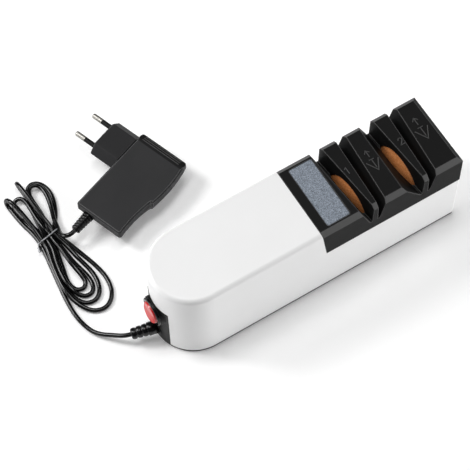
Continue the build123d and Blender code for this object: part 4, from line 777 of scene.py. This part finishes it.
def add_stroke(mesh, a, b):
    """One straight stroke with sloping sides and ends, from a to b in millimetres."""
    along = (b - a).normalized()
    across = Vector((-along.y, along.x))
    foot, crest = STROKE_WIDTH / 2, STROKE_WIDTH / 2 - STROKE_SLOPE
    rings = []
    for height, half in ((-MARK_SUNK, foot), (MARK_HEIGHT, crest)):
        corners = [a - along * half - across * half, b + along * half - across * half,
                   b + along * half + across * half, a - along * half + across * half]
        rings.append([mesh.verts.new((corner.x * MM, corner.y * MM, height * MM))
                      for corner in corners])
    low, high = rings
    mesh.faces.new(high)
    mesh.faces.new(list(reversed(low)))
    for first in range(len(low)):
        second = (first + 1) % len(low)
        mesh.faces.new((low[first], low[second], high[second], high[first]))


def raised_mark(name, strokes, size, place, slot, material):
    """A mark of several strokes. place is the matrix of the face that it stands on."""
    mesh = bmesh.new()
    for stroke in strokes:
        for a, b in zip(stroke, stroke[1:]):
            add_stroke(mesh, Vector(a) * size, Vector(b) * size)
    mesh.transform(place)
    data = bpy.data.meshes.new(name)
    mesh.to_mesh(data)
    mesh.free()
    made = bpy.data.objects.new(name, data)
    scene.collection.objects.link(made)
    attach(made, "casing")
    give(made, material)
    return made


def on_head(along, across):
    """A place on the head's top, in millimetres from its rear edge and from its middle line."""
    low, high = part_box("head_cap")
    return Matrix.Translation((low.x + along * MM, across * MM, high.z))


# Each mark's name, strokes, size and place.
MARKS = [
    ("mark_middle_block", DRAWN_BLADE, 1.1, on_head(60.4, -3.0)),
    ("mark_end_block", DRAWN_BLADE, 1.2, on_head(103.0, 0.0)),
    ("mark_first_stage", NUMBER_ONE, 1.0, on_head(41.6, 4.0)),
    ("mark_second_stage", NUMBER_TWO, 1.0, on_head(85.6, 4.0)),
]
marks = [raised_mark(*row, "cap_black", mark_abs) for row in MARKS]
print("raised marks:", [mark.name for mark in marks])

# %% [markdown]
# ## Grip ribs on the adapter
#
# The adapter's end slopes down where fingers pull it from the wall, and three fine ribs run
# across that slope. They are the same strokes as the marks, placed on the sloping face. The
# slope's own frame starts at its upper edge, with X down the slope, and the adapter's frame
# carries it to its place on the table.

# %% Grip ribs
ADAPTER_CENTRE = Vector((-75.2, 101.8, 0.0))
ADAPTER_YAW = math.radians(20.0)
GRIP_START = Vector((34.2, 0.0, 22.0))   # the slope's upper edge, from the adapter's middle
GRIP_SLOPE = math.radians(21.16)
RIB_HALF_LENGTH = 16.5
RIB_PLACES = (1.5, 3.4, 5.3)             # down the slope

slope = Matrix.Translation(GRIP_START * MM) @ Matrix.Rotation(GRIP_SLOPE, 4, "Y")
in_adapter = Matrix.Translation(ADAPTER_CENTRE * MM) @ Matrix.Rotation(ADAPTER_YAW, 4, "Z")
rib_strokes = [[(place, -RIB_HALF_LENGTH), (place, RIB_HALF_LENGTH)] for place in RIB_PLACES]
raised_mark("grip_ribs", rib_strokes, 1.0, in_adapter @ slope, "adapter_black", mark_abs)
print("grip ribs:", len(RIB_PLACES))

# %% [markdown]
# ## Table, light and world
#
# The table is a plain white sheet. It glows a little by itself, so it stays white where it
# is lit and only greys where the sharpener keeps the light off it. A broad strip hangs
# overhead, a little behind the sharpener, and drops a soft shadow along its near side. A low
# light stands at each side. None stands under the camera, so the rounded rear end of the
# housing darkens where it faces the viewer. A smaller light high at the left reaches into
# the slots and puts a highlight on the wheels.

# %% Table
TABLE_HALF_WIDTH = 4.0
TABLE_SQUARES = 8
TABLE_GLOW = 0.17

table_mesh = bmesh.new()
bmesh.ops.create_grid(table_mesh, x_segments=TABLE_SQUARES, y_segments=TABLE_SQUARES,
                      size=TABLE_HALF_WIDTH)
table_data = bpy.data.meshes.new("table")
table_mesh.to_mesh(table_data)
table_mesh.free()
table = bpy.data.objects.new("table", table_data)
scene.collection.objects.link(table)
table_white = start("matt_white_paper", "#f6f6f6", 0.9, Specular_IOR_Level=0.1,
                    Emission_Color=linear(WHITE), Emission_Strength=TABLE_GLOW)[0]
give(table, table_white)
print("table:", 2 * TABLE_HALF_WIDTH, "m wide")


# %% Lights
def soft_light(name, place, aim, size, watts):
    """A rectangular area light that looks at a point. size is its width and height in metres."""
    data = bpy.data.lights.new(name, "AREA")
    data.shape = "RECTANGLE"
    data.size, data.size_y = size
    data.energy = watts
    made = bpy.data.objects.new(name, data)
    made.location = place
    made.rotation_mode = "QUATERNION"
    made.rotation_quaternion = (Vector(aim) - Vector(place)).to_track_quat("-Z", "Y")
    scene.collection.objects.link(made)


PRODUCT = (0.0, 0.03, 0.04)
WHEELS = (0.07, 0.0, 0.07)
soft_light("overhead", place=(-0.05, 0.22, 1.5), aim=PRODUCT, size=(1.2, 0.36), watts=9.6)
soft_light("left", place=(-1.15, 0.72, 0.26), aim=PRODUCT, size=(0.7, 0.4), watts=6.5)
soft_light("right", place=(1.2, -0.66, 0.26), aim=PRODUCT, size=(0.7, 0.4), watts=16.0)
soft_light("high_left", place=(-0.7, 0.7, 1.05), aim=WHEELS, size=(0.4, 0.4), watts=10.0)
print("lights:", len(bpy.data.lights))

# %% World and colour
ROOM_GLOW = 0.08

world = bpy.data.worlds.new("white_room")
world.use_nodes = True
room = world.node_tree.nodes["Background"].inputs
room["Color"].default_value = linear(WHITE)
room["Strength"].default_value = ROOM_GLOW
scene.world = world
scene.view_settings.view_transform = "Standard"
scene.view_settings.look = "None"
